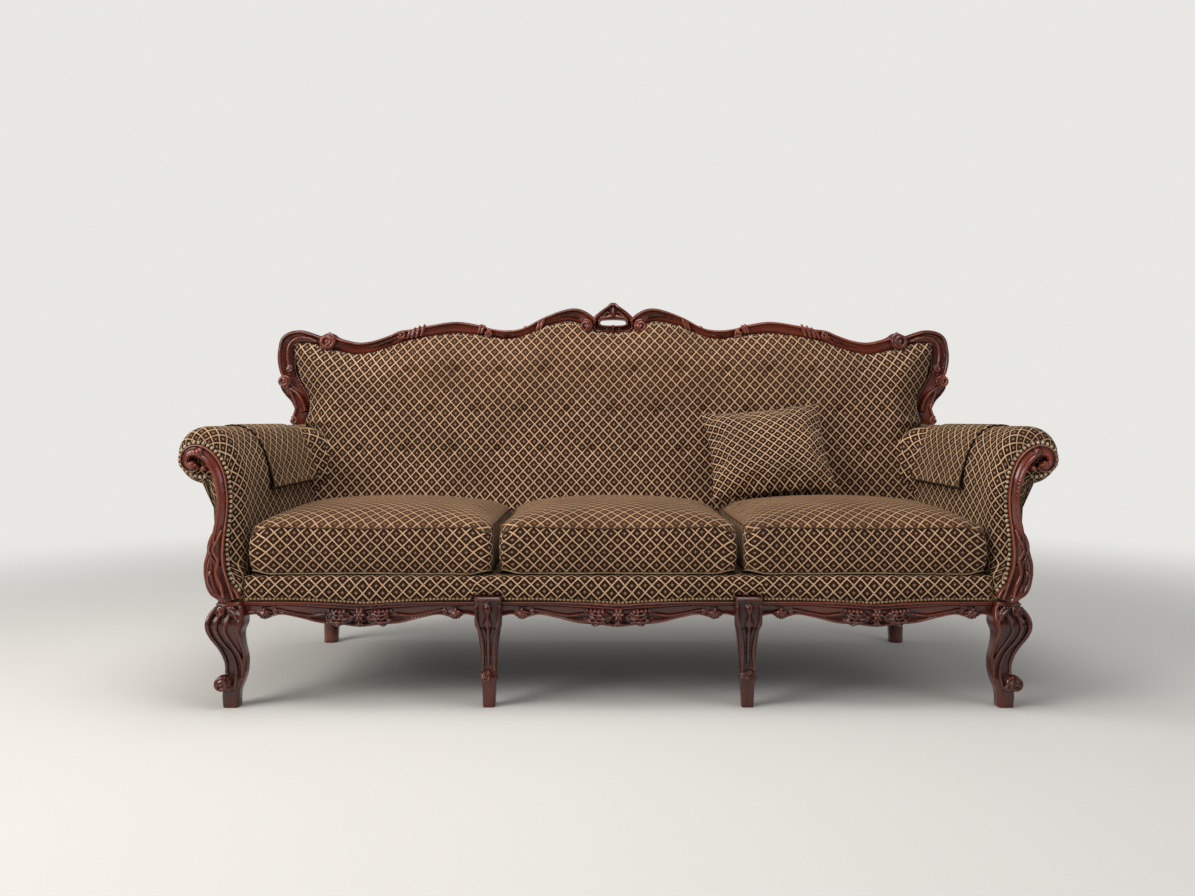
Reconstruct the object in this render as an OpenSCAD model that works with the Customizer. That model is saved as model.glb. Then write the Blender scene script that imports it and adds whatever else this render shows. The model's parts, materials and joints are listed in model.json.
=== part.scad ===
// Three-seat sofa with a carved frame, cabriole legs, loose seat cushions and rolled arms.
// X runs to the right, the front faces -Y, and the feet stand on Z = 0.

/* [Overall] */
// Height of the crest above the floor
body_h = 1025; // [990:5:1080]
// Plane of the front feet, ahead of the middle
front_y = 385; // [360:5:410]
// Rear face of the back frame at seat height, behind the middle
back_y = 366; // [356:2:390]
// Lean of the back frame
back_rake = 4.7; // [3:0.1:7]

/* [Seat] */
// Underside of the seat rails above the floor
rail_z = 246; // [220:2:270]
// Height of the seat rails
rail_h = 40; // [34:1:50]
// Thickness of the seat rails
rail_t = 28; // [22:1:34]
// Width between the arms
seat_w = 1736; // [1700:2:1760]
// Width of the middle cushion
mid_cushion_w = 562; // [540:2:580]
// Height of a cushion at its seam
cushion_h = 110; // [90:2:130]
// Depth of a cushion from front to back
cushion_d = 572; // [540:2:580]
// Rise of a cushion's crown above its seam
cushion_crown = 42; // [20:1:50]
// Gap between cushions
cushion_gap = 4; // [2:0.5:8]

/* [Arms] */
// Width of an arm from the seat to the outside of its roll
arm_w = 157; // [145:1:170]
// Top of the arm roll above the floor
arm_h = 650; // [620:2:680]
// Radius of the arm roll
roll_r = 68; // [60:1:74]
// Width of an arm below its roll
arm_t = 60; // [52:1:66]
// Thickness of the carved arm post
post_t = 26; // [20:1:32]

/* [Carving] */
// Depth of the crest rail from front to back
crest_d = 46; // [36:1:54]
// Height of the crest rail's moulding
crest_w = 34; // [28:1:40]
// Thickness of the aprons
apron_t = 28; // [22:1:32]
// Deepest drop of an apron below the seat rails
apron_h = 60; // [48:1:70]

/* [Legs] */
// Distance of a middle leg from the middle
mid_leg_x = 299; // [280:1:320]
// Width of a front foot
foot_w = 37; // [30:1:44]
// Distance of a rear leg in from the side rail's middle
rear_leg_in = 50; // [40:1:70]
// Width of a rear foot
rear_foot_w = 38; // [30:1:46]
// Depth from the front feet to the rear feet
foot_run = 708; // [680:2:720]

/* [Upholstery] */
// Clearance between a soft piece and its neighbours
soft_gap = 0.4; // [0.3:0.1:1]
// Thickness of a covering sheet
cloth_t = 3; // [2:0.5:4]
// Width of a webbing strap
strap_w = 50; // [40:2:60]
// Length of an arm cover along the arm
cover_l = 380; // [300:10:420]
// Width of the throw pillow
pillow_w = 354; // [300:2:400]
// Height of the throw pillow
pillow_h = 314; // [260:2:340]
// Thickness of the throw pillow
pillow_t = 105; // [80:5:130]

/* [Hidden] */
LEFT = -1;
RIGHT = 1;

mahogany = "#5b2418";
beech = "#c9a77a";
fabric = "#8b7556";
jute = "#b39a6b";
braid = "#cdbb92";
steel = "#9a9a98";
black_cloth = "#2b2928";

// Small shared sizes: how far a cut runs past a face, how far upholstery stops inside the carving
overrun = 2;
edge_gap = 2;
seam_gap = 0.3;
hessian_t = 1;
strap_t = 2.5;
deck_t = 15;
band_t = 15;
panel_t = 3;
arm_in = seat_w / 2;
half_w = arm_in + arm_w;
rail_top = rail_z + rail_h;
deck_z = rail_top + strap_t + hessian_t;
deck_top = deck_z + deck_t;
cushion_z = deck_top + soft_gap;
// The front face of the seat frame lies just ahead of the feet's middle plane
frame_step = 3.4;
frame_front = -front_y - frame_step;
frame_thick = 35;

// Plane of the back frame's rear face at a height, and a point's height measured along the lean
function lean_y(z) = back_y + (z - rail_z) * tan(back_rake);
function up_lean(z) = (z - rail_z) / cos(back_rake);
// A place on the carved back, as shares of the half width and of the height above the arms
function on_back(s) = [s[0] * half_w, arm_h + s[1] * (body_h - arm_h)];
// Half of the back's clear width at a height: between the arms, then between the stiles
function pick(table, v, i = 0) =
    i + 2 >= len(table) || v < table[i + 1][0] ? let(a = table[i], b = table[i + 1])
    a[1] + (b[1] - a[1]) * min(1, max(0, (v - a[0]) / (b[0] - a[0]))) : pick(table, v, i + 1);

// Smooth curve through hand-chosen rows of any length, with a few steps to a span
function reversed(p) = [for (i = [len(p) - 1 : -1 : 0]) p[i]];
function row(p, i) = p[max(0, min(len(p) - 1, i))];
function bend(a, b, c, d, t) =
    (2 * b + (c - a) * t + (2 * a - 5 * b + 4 * c - d) * t * t + (3 * b - a - 3 * c + d) * t * t * t) / 2;
function curve(p, steps) = concat(
    [for (i = [0 : len(p) - 2]) for (k = [0 : steps - 1])
        bend(row(p, i - 1), p[i], p[i + 1], row(p, i + 2), k / steps)],
    [p[len(p) - 1]]);
function heading(p, i) =
    let(a = p[max(i - 1, 0)], b = p[min(i + 1, len(p) - 1)], d = [b[0] - a[0], b[1] - a[1]]) d / norm(d);
function middle(ring) = [for (k = [0 : 2]) [for (p = ring) p[k]] * [for (p = ring) 1] / len(ring)];

// Closed skin over a list of rings with as many points each, which run anticlockwise
// as seen from the end of the list
module loft(rings) {
    n = len(rings[0]);
    m = len(rings);
    points = concat([for (r = rings) each r], [middle(rings[0]), middle(rings[m - 1])]);
    sides = [for (i = [0 : m - 2]) for (j = [0 : n - 1])
        let(a = i * n + j, b = i * n + (j + 1) % n) each [[a, a + n, b], [a + n, b + n, b]]];
    caps = [for (j = [0 : n - 1]) each
        [[m * n, j, (j + 1) % n], [m * n + 1, (m - 1) * n + (j + 1) % n, (m - 1) * n + j]]];
    polyhedron(points, concat(sides, caps));
}

// Moulding swept along a path seen from the front. A path row is x, z, width and depth,
// and a section row is a share across and a share proud of the back
module sweep_front(path, section, y0, rate, first, last) {
    n = len(path);
    loft([for (i = [0 : n - 1])
        let(p = path[i], h = i == 0 && first ? first : i == n - 1 && last ? last : heading(path, i))
        [for (s = reversed(section)) let(z = p[1] + s[0] * p[2] / 2 * h[0])
            [p[0] - s[0] * p[2] / 2 * h[1], y0 + rate * z - s[1] * p[3], z]]]);
}

// Sections of the carved mouldings, as shares of half the width and of the depth
crest_shares = [[-1, 0], [-1, 0.72], [-0.66, 0.9], [-0.36, 0.68], [0.34, 0.7], [0.6, 1], [0.88, 0.96],
    [1, 0.7], [1, 0]];
post_shares = [[-1, 0], [-1, 0.62], [-0.66, 0.86], [-0.1, 0.62], [0.46, 0.98], [0.82, 0.96], [1, 0.62],
    [1, 0]];
// A leg's section is a square with its corners eased
leg_sides = 12;
leg_shares = [for (k = [0 : leg_sides - 1]) let(a = 360 * k / leg_sides, s = 1 / max(abs(cos(a)), abs(sin(a))))
    [cos(a), sin(a)] * (1 + (s - 1) * 0.62)];

// Carved leg: a row is z, x, y and the two widths
module carved_leg(levels, steps) {
    loft([for (v = curve(levels, steps)) [for (s = leg_shares)
        [v[1] + s[0] * v[3] / 2, v[2] + s[1] * v[4] / 2, v[0]]]]);
}

// Rounded button: the eye of a volute, a berry or a rosette's heart, facing the front
module eye(r, proud) {
    hull() {
        rotate([90, 0, 0]) cylinder(h = proud * 0.88, r = r, $fn = 8);
        rotate([90, 0, 0]) cylinder(h = proud, r = r * 0.55, $fn = 8);
    }
}

// Carved leaf lobe lying along a direction on the front: length, width and how proud it stands
module leaf(l, w, proud, turn) {
    rotate([0, turn, 0]) hull() {
        translate([l * 0.3, 0, 0]) rotate([90, 0, 0]) cylinder(h = proud, r1 = w / 2, r2 = w / 5, $fn = 6);
        translate([l, 0, 0]) rotate([90, 0, 0]) cylinder(h = proud * 0.6, r = w / 12, $fn = 3);
    }
}

// Mirrors a left-hand piece to the right
module on_side(side) {
    if (side == LEFT) children(); else mirror([1, 0, 0]) children();
}

// Crest rail, left half, from the stile to the cartouche: shares of the half width, of the
// height above the arms, of the moulding's width and of its depth
crest_path_shares = [
    [-0.87, 0.682, 0.8, 0.9], [-0.847, 0.676, 1.12, 1], [-0.815, 0.645, 1.04, 0.95], [-0.761, 0.615, 1, 0.9],
    [-0.713, 0.63, 0.98, 0.9], [-0.663, 0.675, 0.98, 0.92], [-0.63, 0.724, 1, 1], [-0.594, 0.745, 0.92, 0.92],
    [-0.546, 0.776, 0.94, 0.92], [-0.468, 0.806, 0.97, 0.95], [-0.4, 0.782, 0.8, 0.9], [-0.37, 0.752, 0.64, 0.84],
    [-0.325, 0.724, 0.84, 0.9], [-0.283, 0.734, 0.8, 0.9], [-0.25, 0.765, 0.78, 0.88], [-0.202, 0.834, 0.8, 0.92],
    [-0.146, 0.882, 0.98, 0.98], [-0.112, 0.888, 1.12, 1], [-0.085, 0.858, 1.14, 1], [-0.0605, 0.81, 1.0, 0.95]];
module crest_rail(side) {
    path = [for (s = curve(crest_path_shares, 2))
        let(p = on_back(s)) [p[0], p[1], s[2] * crest_w, s[3] * crest_d]];
    color(mahogany) on_side(side) union() {
        sweep_front(path, crest_shares, lean_y(0), tan(back_rake), [1, 0], [1, 0]);
        // Eyes of the four volutes
        for (s = [[-0.846, 0.686, 0.66], [-0.631, 0.74, 0.42], [-0.37, 0.76, 0.4], [-0.082, 0.812, 0.62]])
            on_crest(s) eye(s[2] * crest_w, crest_d * 1.12);
        // Fluted collars between the arches
        for (s = [[-0.606, 0.745], [-0.59, 0.75], [-0.574, 0.757], [-0.202, 0.837]])
            on_crest(s) hull() for (end = [-1, 1]) translate([end * crest_w * 0.08, 0, end * crest_w * 0.5])
                rotate([90, 0, 0]) cylinder(h = crest_d * 1.04, r = crest_w * 0.13, $fn = 6);
    }
}
// Puts a carved piece on the back frame's rear plane at a share of its width and height
module on_crest(s) {
    p = on_back(s);
    translate([p[0], lean_y(p[1]), p[1]]) rotate([-back_rake, 0, 0]) children();
}

// Cartouche in the middle of the crest, pierced by a slot
cartouche_shares = [[0, 1], [0.16, 0.975], [0.2, 0.87], [0.36, 0.8], [0.62, 0.72], [0.98, 0.58],
    [0.98, 0.34], [0.98, 0.1], [0.7, 0.05], [0.4, 0.01], [0, 0]];
module crest_cartouche() {
    foot = on_back([0, 0.742])[1];
    half = 0.0605 * half_w - seam_gap;
    rise = body_h - foot;
    outline = [for (s = curve(cartouche_shares, 3)) [s[0] * half, up_lean(foot + s[1] * rise)]];
    slot = rise * 0.1;
    slot_z = up_lean(foot + rise * 0.36);
    color(mahogany) translate([0, back_y, rail_z]) rotate([-back_rake, 0, 0]) rotate([90, 0, 0]) {
        difference() {
            linear_extrude(crest_d * 0.74) polygon(concat(outline,
                [for (i = [len(outline) - 2 : -1 : 1]) [-outline[i][0], outline[i][1]]]));
            translate([0, 0, -overrun]) linear_extrude(crest_d + overrun * 2) {
                translate([-half * 0.52, slot_z - slot]) square([half * 1.04, slot * 2]);
                for (end = [-1, 1]) translate([end * half * 0.52, slot_z]) circle(r = slot, $fn = 32);
            }
        }
        // Raised leaf down the middle, with a berry at its tip
        translate([0, up_lean(body_h) - rise * 0.16, crest_d * 0.74]) sphere(r = rise * 0.11, $fn = 32);
        translate([0, up_lean(body_h) - rise * 0.36, crest_d * 0.74])
            rotate([90, 0, 0]) cylinder(h = rise * 0.3, r1 = rise * 0.09, r2 = rise * 0.05, center = true, $fn = 32);
        translate([0, up_lean(foot) + rise * 0.13, crest_d * 0.74]) rotate([0, 90, 0])
            cylinder(h = half * 0.9, r = rise * 0.06, center = true, $fn = 32);
    }
}

// Carved stile on each side of the back: two C-scrolls with a knob between them
stile_path_shares = [
    [-0.929, 0, 1.06, 0.84], [-0.928, 0.04, 1.08, 0.9], [-0.918, 0.112, 1.3, 0.95], [-0.921, 0.222, 1.42, 1],
    [-0.937, 0.318, 1.26, 1], [-0.951, 0.381, 1.1, 0.94], [-0.96, 0.44, 1.1, 0.92], [-0.972, 0.5, 1.2, 0.96],
    [-0.978, 0.6, 1.3, 1], [-0.966, 0.682, 1.3, 1], [-0.935, 0.728, 1.22, 1], [-0.9, 0.715, 1, 0.96],
    [-0.8706, 0.682, 0.8, 0.9]];
module back_stile(side) {
    path = [for (s = curve(stile_path_shares, 2))
        let(p = on_back(s)) [p[0], p[1], s[2] * crest_w, s[3] * crest_d]];
    color(mahogany) on_side(side) union() {
        sweep_front(path, crest_shares, lean_y(0), tan(back_rake), [0, 1], [1, 0]);
        for (s = [[-0.974, 0.288, 0.62], [-0.955, 0.35, 0.3], [-0.945, 0.045, 0.32]])
            on_crest(s) eye(s[2] * crest_w, crest_d);
        for (s = [[-0.962, 0.42, -60], [-0.968, 0.44, -80], [-0.945, 0.3, 60], [-0.935, 0.28, 75]])
            on_crest(s) leaf(crest_w * 1.3, crest_w * 0.4, crest_d * 1.02, s[2]);
    }
}

// Arm post: a carved upright that curls into a volute on the face of the arm roll. Shares of
// the half width, of the height from the seat rails to the arm's top, and of the post's width
post_w = roll_r * 0.42;
post_path_shares = [
    [-0.873, 0, 1.8], [-0.878, 0.03, 1.76], [-0.894, 0.078, 1.72], [-0.902, 0.149, 1.66], [-0.904, 0.238, 1.44],
    [-0.902, 0.31, 1.2], [-0.897, 0.403, 1.02], [-0.891, 0.49, 0.94], [-0.889, 0.587, 0.92], [-0.892, 0.65, 0.98],
    [-0.897, 0.713, 1.04], [-0.909, 0.782, 1.1], [-0.927, 0.834, 1.12], [-0.95, 0.859, 1.04],
    [-0.969, 0.838, 0.92], [-0.972, 0.79, 0.78], [-0.959, 0.757, 0.64], [-0.944, 0.774, 0.5]];
post_face = frame_front - panel_t - seam_gap;
function on_arm(s) = [s[0] * half_w, rail_z + s[1] * (arm_h - rail_z)];
module on_post(s) {
    p = on_arm(s);
    translate([p[0], post_face, p[1]]) children();
}
module arm_post(side) {
    path = [for (s = curve(post_path_shares, 2))
        let(p = on_arm(s)) [p[0], p[1], s[2] * post_w, post_t]];
    color(mahogany) on_side(side) difference() {
        union() {
            sweep_front(path, post_shares, post_face, 0, [0, 1]);
            // The two balls inside the volute and the bead that ends its stem
            for (s = [[-0.943, 0.848, 0.42], [-0.957, 0.78, 0.38], [-0.932, 0.758, 0.26]])
                on_post(s) eye(s[2] * post_w, post_t * 1.14);
            // Acanthus leaves up the outer side
            for (s = [[-0.905, 0.06, 100, 1.5], [-0.916, 0.16, 84, 1.7], [-0.92, 0.24, 76, 1.6],
                    [-0.905, 0.33, 72, 1.5], [-0.892, 0.1, 92, 1.3], [-0.9, 0.2, 88, 1.3]])
                on_post(s) leaf(post_w * s[3], post_w * 0.46, post_t * 1.06, -s[2]);
        }
        // Cut flat where it stands on the front leg
        translate([-half_w, post_face - post_t * 2, rail_z - rail_h]) cube([half_w, post_t * 3, rail_h + seam_gap]);
    }
}

// Front leg: cabriole, with a scroll at the foot. Shares of the height under the rails, of the
// half width, of the front plane, and of the foot's width
front_leg_shares = [
    [0, -0.873, 1, 1, 1], [0.14, -0.873, 1, 1.08, 1.08], [0.24, -0.866, 0.998, 1.14, 1.2],
    [0.34, -0.861, 0.99, 1.16, 1.16], [0.46, -0.864, 0.985, 1.3, 1.24], [0.58, -0.872, 0.997, 1.46, 1.44],
    [0.7, -0.881, 1.015, 1.9, 1.8], [0.8, -0.879, 1.02, 2.25, 1.96], [0.9, -0.873, 1.022, 1.82, 1.5],
    [1, -0.873, 1.021, 1.5, 1.32]];
module front_leg(side) {
    levels = [for (s = front_leg_shares)
        [s[0] * rail_z, s[1] * half_w, -s[2] * front_y, s[3] * foot_w, s[4] * foot_w]];
    color(mahogany) on_side(side) union() {
        carved_leg(levels, 2);
        // Scroll ball on the outside of the foot, and the leaves over the knee
        translate([-0.893 * half_w, -front_y, 0.225 * rail_z]) rotate([0, 0, -30])
            translate([0, foot_w * 0.46, 0]) eye(foot_w * 0.42, foot_w * 0.92);
        for (s = [[-0.885, 0.9, 100, 1.5], [-0.874, 0.9, 84, 1.7], [-0.896, 0.78, 92, 1.6], [-0.882, 0.74, 82, 1.6],
                [-0.893, 0.97, 110, 0.9], [-0.868, 0.97, 70, 0.9], [-0.886, 0.62, 86, 1.3]])
            translate([s[0] * half_w, -front_y + foot_w * 0.1, s[1] * rail_z])
                leaf(foot_w * s[3], foot_w * 0.42, foot_w * 0.98, s[2]);
    }
}

// Middle leg: a straighter leg under a rosette block
mid_leg_shares = [
    [0, 1, 0.88, 0.9], [0.2, 1, 0.9, 0.94], [0.28, 1.008, 1.16, 1.2], [0.34, 1.002, 1.04, 1.06],
    [0.5, 0.996, 1.06, 1.02], [0.72, 1.004, 1.42, 1.3], [0.8, 1.02, 1.7, 1.16], [1, 1.02, 1.72, 1.16],
    [1.05, 1.02, 1.76, 1.16]];
mid_block_y = -front_y - foot_w * 0.56;
module middle_leg(side) {
    levels = [for (s = mid_leg_shares)
        [s[0] * rail_z, -mid_leg_x, s[0] < 0.8 ? -s[1] * front_y : mid_block_y, s[2] * foot_w,
            s[0] < 0.8 ? s[3] * foot_w : foot_w * 0.86]];
    color(mahogany) on_side(side) union() {
        carved_leg(levels, 2);
        // Rosette of petals with a berry, and the knob low on the leg
        for (k = [0 : 4]) translate([-mid_leg_x, mid_block_y, rail_z * 0.95])
            leaf(foot_w * 0.5, foot_w * 0.34, foot_w * 0.5, k * 72 + 18);
        translate([-mid_leg_x, mid_block_y, rail_z * 0.95]) eye(foot_w * 0.16, foot_w * 0.56);
        translate([-mid_leg_x, -front_y, rail_z * 0.3]) eye(foot_w * 0.32, foot_w * 0.8);
        translate([-mid_leg_x, mid_block_y + foot_w * 0.05, rail_z * 0.78])
            leaf(foot_w * 1.1, foot_w * 0.36, foot_w * 0.5, 90);
    }
}

rear_leg_y = -front_y + foot_run + rear_foot_w * 0.36;
// Rear leg: a plain tapered block with its corners taken off
module rear_leg(side) {
    top = rear_foot_w * 1.3;
    foot_y = -front_y + foot_run;
    color(mahogany) on_side(side) loft([for (end = [[0, rear_foot_w, foot_y], [rail_z, top, rear_leg_y]])
        [for (k = [0 : 7]) let(a = 45 * floor(k / 2) * 2 + (k % 2 == 0 ? 28 : 62))
            [-rear_leg_x + end[1] * 0.56 * cos(a), end[2] + end[1] * 0.56 * sin(a), end[0]]]]);
}

// Aprons: a serpentine lower edge with shells, and a cluster of leaves and berries in the middle.
// Shares of the bay's width and of the drop
apron_edge_shares = [[0, 0.58], [0.05, 0.52], [0.086, 0.7], [0.12, 0.6], [0.164, 0.53], [0.24, 0.66], [0.327, 0.85],
    [0.42, 0.92], [0.5, 1], [0.58, 0.92], [0.673, 0.85], [0.76, 0.66], [0.836, 0.53], [0.88, 0.6],
    [0.914, 0.7], [0.95, 0.52], [1, 0.58]];
apron_top_shares = [[1, 0], [0.8, 0], [0.65, 0.07], [0.5, 0.16], [0.35, 0.07], [0.2, 0], [0, 0]];
apron_front = frame_front - apron_t + rail_t * 0.3;
module apron_layer(outline, back, front) {
    translate([0, apron_front + apron_t * (1 - back), 0]) rotate([90, 0, 0])
        linear_extrude(apron_t * (front - back)) polygon(outline);
}
function shifted(p, dz) = [for (q = p) [q[0], q[1] + dz]];
module apron(x0, x1) {
    w = x1 - x0;
    lower = [for (s = curve(apron_edge_shares, 3)) [x0 + s[0] * w, rail_z - s[1] * apron_h]];
    upper = [for (s = curve(apron_top_shares, 3)) [x0 + s[0] * w, rail_z - max(0, s[1]) * apron_h]];
    down = reversed(upper);
    color(mahogany) union() {
        apron_layer(concat(lower, upper), 0, 0.7);
        // Moulding along the top in two steps, and the raised edge along the bottom
        apron_layer(concat(shifted(down, -apron_h * 0.16), upper), 0.6, 0.94);
        apron_layer(concat(shifted(down, -apron_h * 0.09), upper), 0.9, 1);
        apron_layer(concat(lower, shifted(reversed(lower), apron_h * 0.11)), 0.6, 0.88);
        // Shells over the two small drops, then the leaves and berries of the middle
        for (end = [0.086, 0.914]) translate([x0 + end * w, apron_front + apron_t, rail_z - apron_h * 0.3])
            leaf(apron_h * 0.42, apron_h * 0.3, apron_t * 1.02, 90);
        for (s = [[0.5, 0.36, 90, 1.2], [0.485, 0.5, 195, 1.9], [0.515, 0.5, -15, 1.9], [0.46, 0.66, 170, 1.4],
                [0.54, 0.66, 10, 1.4]])
            translate([x0 + s[0] * w, apron_front + apron_t, rail_z - apron_h * s[1]])
                leaf(apron_h * 0.46 * s[3], apron_h * 0.2, apron_t * 1.14, s[2]);
        for (s = [[0.44, 0.36], [0.56, 0.36], [0.6, 0.42], [0.4, 0.42]])
            translate([x0 + s[0] * w, apron_front + apron_t * 0.24, rail_z - apron_h * s[1]])
                sphere(r = apron_h * 0.1, $fn = 24);
    }
}
apron_end = half_w * 0.873 - foot_w * 0.98 - seam_gap;
block_half = foot_w * 0.9;

// Seat frame: the front, rear and side rails, the cross rails and the corner blocks
rear_inner = back_y - panel_t - frame_thick;
side_rail_x = half_w * 0.873;
side_inner = side_rail_x - rail_t / 2;
rear_leg_x = side_rail_x - rear_leg_in;
module front_seat_rail() {
    color(beech) translate([-side_inner, frame_front, rail_z]) cube([side_inner * 2, rail_t, rail_h]);
}
module rear_seat_rail() {
    color(beech) translate([-side_inner, rear_inner, rail_z]) cube([side_inner * 2, rail_t, rail_h]);
}
module side_seat_rail(side) {
    color(beech) on_side(side) translate([-side_inner - rail_t, frame_front, rail_z])
        cube([rail_t, rear_inner + rail_t - frame_front, rail_h]);
}
module cross_rails() {
    low = strap_t * 2;
    for (side = [LEFT, RIGHT])
        color(beech) translate([side * mid_leg_x - rail_t / 2, frame_front + rail_t, rail_z])
            cube([rail_t, rear_inner - frame_front - rail_t, rail_h - low]);
}

// Corner blocks are glued across the corners of the seat frame, each held by two screws
block_l = 90;
screw_r = 2.2;
screw_l = 34;
block_low = 4;
module at_corners() {
    for (side = [LEFT, RIGHT]) for (end = [0, 1])
        translate([side * side_inner, end == 0 ? frame_front + rail_t : rear_inner, rail_z])
            into_corner(side, end) children();
}
module into_corner(side, end) {
    mirror([side == LEFT ? 0 : 1, 0, 0]) mirror([0, end, 0]) children();
}
module screw_place() {
    for (swap = [0, 1]) mirror([swap, -swap, 0])
        translate([block_l * 0.52, block_l * 0.3, (rail_h - block_low) / 2]) rotate([90, 0, 0]) children();
}
module corner_blocks() {
    color(beech) at_corners() difference() {
        linear_extrude(rail_h - block_low * 2) polygon([[0, 0], [block_l, 0], [block_l * 0.75, block_l * 0.32],
            [block_l * 0.32, block_l * 0.75], [0, block_l]]);
        screw_place() translate([0, 0, -overrun * 4])
            cylinder(h = block_l, r = screw_r + seam_gap / 2, $fn = 24);
    }
}
module corner_block_screws() {
    color(steel) at_corners() screw_place() {
        cylinder(h = screw_l * 0.75, r = screw_r, $fn = 24);
    }
}

// Posts behind the padding: they carry the carved stiles above the arms
post_out_shares = [[-0.845, 0, 1.5], [-0.862, 0.35, 1.3], [-0.9, 0.7, 1.3], [-0.929, 1, 1.04]];
module back_post(side) {
    foot = rail_top;
    path = [for (s = curve(post_out_shares, 4))
        [s[0] * half_w, foot + s[1] * (arm_h - foot), s[2] * crest_w]];
    color(beech) on_side(side) loft([for (p = path)
        [for (c = [[-1, 1], [1, 1], [1, 0], [-1, 0]])
            [p[0] + c[0] * p[2] / 2, lean_y(p[1]) - panel_t - c[1] * frame_thick, p[1]]]]);
}

// Rails that the arms and the back are built on
arm_rail_x = half_w * 0.931;
arm_rail_t = 30;
arm_rail_h = 24;
arm_rail_z = arm_h - roll_r - arm_rail_h / 2;
pad_back = rear_inner - seam_gap;
module arm_top_rail(side) {
    color(beech) on_side(side) translate([-arm_rail_x - arm_rail_t / 2, frame_front + panel_t, arm_rail_z])
        cube([arm_rail_t, lean_y(arm_rail_z) - panel_t - frame_thick - frame_front - panel_t - seam_gap, arm_rail_h]);
}
module arm_lower_rail(side) {
    color(beech) on_side(side) translate([-side_inner - rail_t, frame_front + panel_t, rail_top + arm_t])
        cube([rail_t, rear_inner - frame_front - panel_t, rail_t]);
}
top_rail_share = 0.493;
top_rail_z = on_back([0, top_rail_share])[1];
tack_rail_z = deck_top + rail_t;
rail_span = half_w * 0.82;
module back_rail(z, h, span) {
    color(beech) translate([0, lean_y(0) - panel_t, 0]) rotate([90, 0, 90]) translate([0, 0, -span])
        linear_extrude(span * 2) polygon([for (c = [[0, 0], [1, 0], [1, 1], [0, 1]])
            [(z + c[1] * h) * tan(back_rake) - frame_thick + c[0] * frame_thick, z + c[1] * h]]);
}
module back_top_rail() { back_rail(top_rail_z, rail_t, rail_span); }
module back_tack_rail() { back_rail(tack_rail_z, rail_t, rail_span); }
module back_uprights() {
    for (side = [LEFT, RIGHT]) translate([side * mid_leg_x, 0, 0])
        back_rail(tack_rail_z + rail_t, top_rail_z - tack_rail_z - rail_t, frame_thick / 2);
}

// Seat suspension: jute straps woven to a grid, hessian over them, then the padded deck
deck_half = arm_in - cushion_gap;
deck_y0 = frame_front + strap_t;
deck_y1 = rear_inner + rail_t * 0.8;
strap_pitch = strap_w * 2;
module seat_webbing() {
    across = floor(deck_half * 2 / strap_pitch);
    along = floor((deck_y1 - deck_y0) / strap_pitch);
    color(jute) translate([0, 0, rail_top]) {
        for (k = [0 : across - 1]) translate([(k - (across - 1) / 2) * strap_pitch - strap_w / 2, deck_y0, 0])
            cube([strap_w, deck_y1 - deck_y0, strap_t]);
        for (k = [0 : along - 1]) translate([-deck_half, deck_y0 + strap_w / 2 + k * strap_pitch, 0])
            cube([deck_half * 2, strap_w, strap_t]);
    }
}
module seat_hessian() {
    color(jute) difference() {
        translate([-deck_half, deck_y0, rail_top + strap_t]) cube([deck_half * 2, deck_y1 - deck_y0, hessian_t]);
        for (side = [LEFT, RIGHT]) translate([side * deck_half - crest_w, rear_inner, rail_top])
            cube([crest_w * 2, rail_t * 2, rail_h]);
    }
}
module seat_deck() {
    color(fabric) translate([-deck_half, deck_y0, deck_z]) cube([deck_half * 2, rear_inner - edge_gap - deck_y0, deck_t]);
}
// Fabric band over the front rail: its lower edge follows the aprons, with room for the leg blocks
module band_outline(inset) {
    difference() {
        translate([-deck_half, rail_z - apron_h]) square([deck_half * 2, deck_top - rail_z + apron_h]);
        translate([-deck_half - overrun, rail_z - apron_h - overrun])
            square([deck_half * 2 + overrun * 2, apron_h + overrun + inset]);
    }
}
module deck_band() {
    color(fabric) difference() {
        translate([0, frame_front - seam_gap, 0]) rotate([90, 0, 0]) {
            linear_extrude(band_t * 0.5) band_outline(seam_gap);
            linear_extrude(band_t) band_outline(band_t * 0.3);
        }
        for (side = [LEFT, RIGHT]) translate([side * mid_leg_x - block_half, frame_front - band_t * 2, 0])
            cube([block_half * 2, band_t * 3, rail_z * 1.05 + seam_gap]);
    }
}

// Back: webbing and hessian on the frame, then the padded and tufted inside back
web_y = -panel_t - frame_thick;
module lean_slab(x0, x1, z0, z1, off, t) {
    translate([x0, lean_y(0) + off, 0]) rotate([90, 0, 90]) linear_extrude(x1 - x0)
        polygon([for (c = [[0, z0], [0, z1], [-t, z1], [-t, z0]]) [c[1] * tan(back_rake) + c[0], c[1]]]);
}
module back_webbing() {
    count = floor(rail_span * 2 / strap_pitch);
    rows = floor((top_rail_z - tack_rail_z) / strap_pitch);
    color(jute) {
        for (k = [0 : count - 1]) let(x = (k - (count - 1) / 2) * strap_pitch)
            lean_slab(x - strap_w / 2, x + strap_w / 2, tack_rail_z, top_rail_z + rail_t, web_y, strap_t);
        for (k = [1 : rows]) let(z = tack_rail_z + k * strap_pitch - strap_w / 2)
            lean_slab(-rail_span, rail_span, z, z + strap_w, web_y, strap_t);
    }
}
module back_hessian() {
    color(jute) lean_slab(-rail_span, rail_span, tack_rail_z, top_rail_z + rail_t, web_y - strap_t, hessian_t);
}

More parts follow.
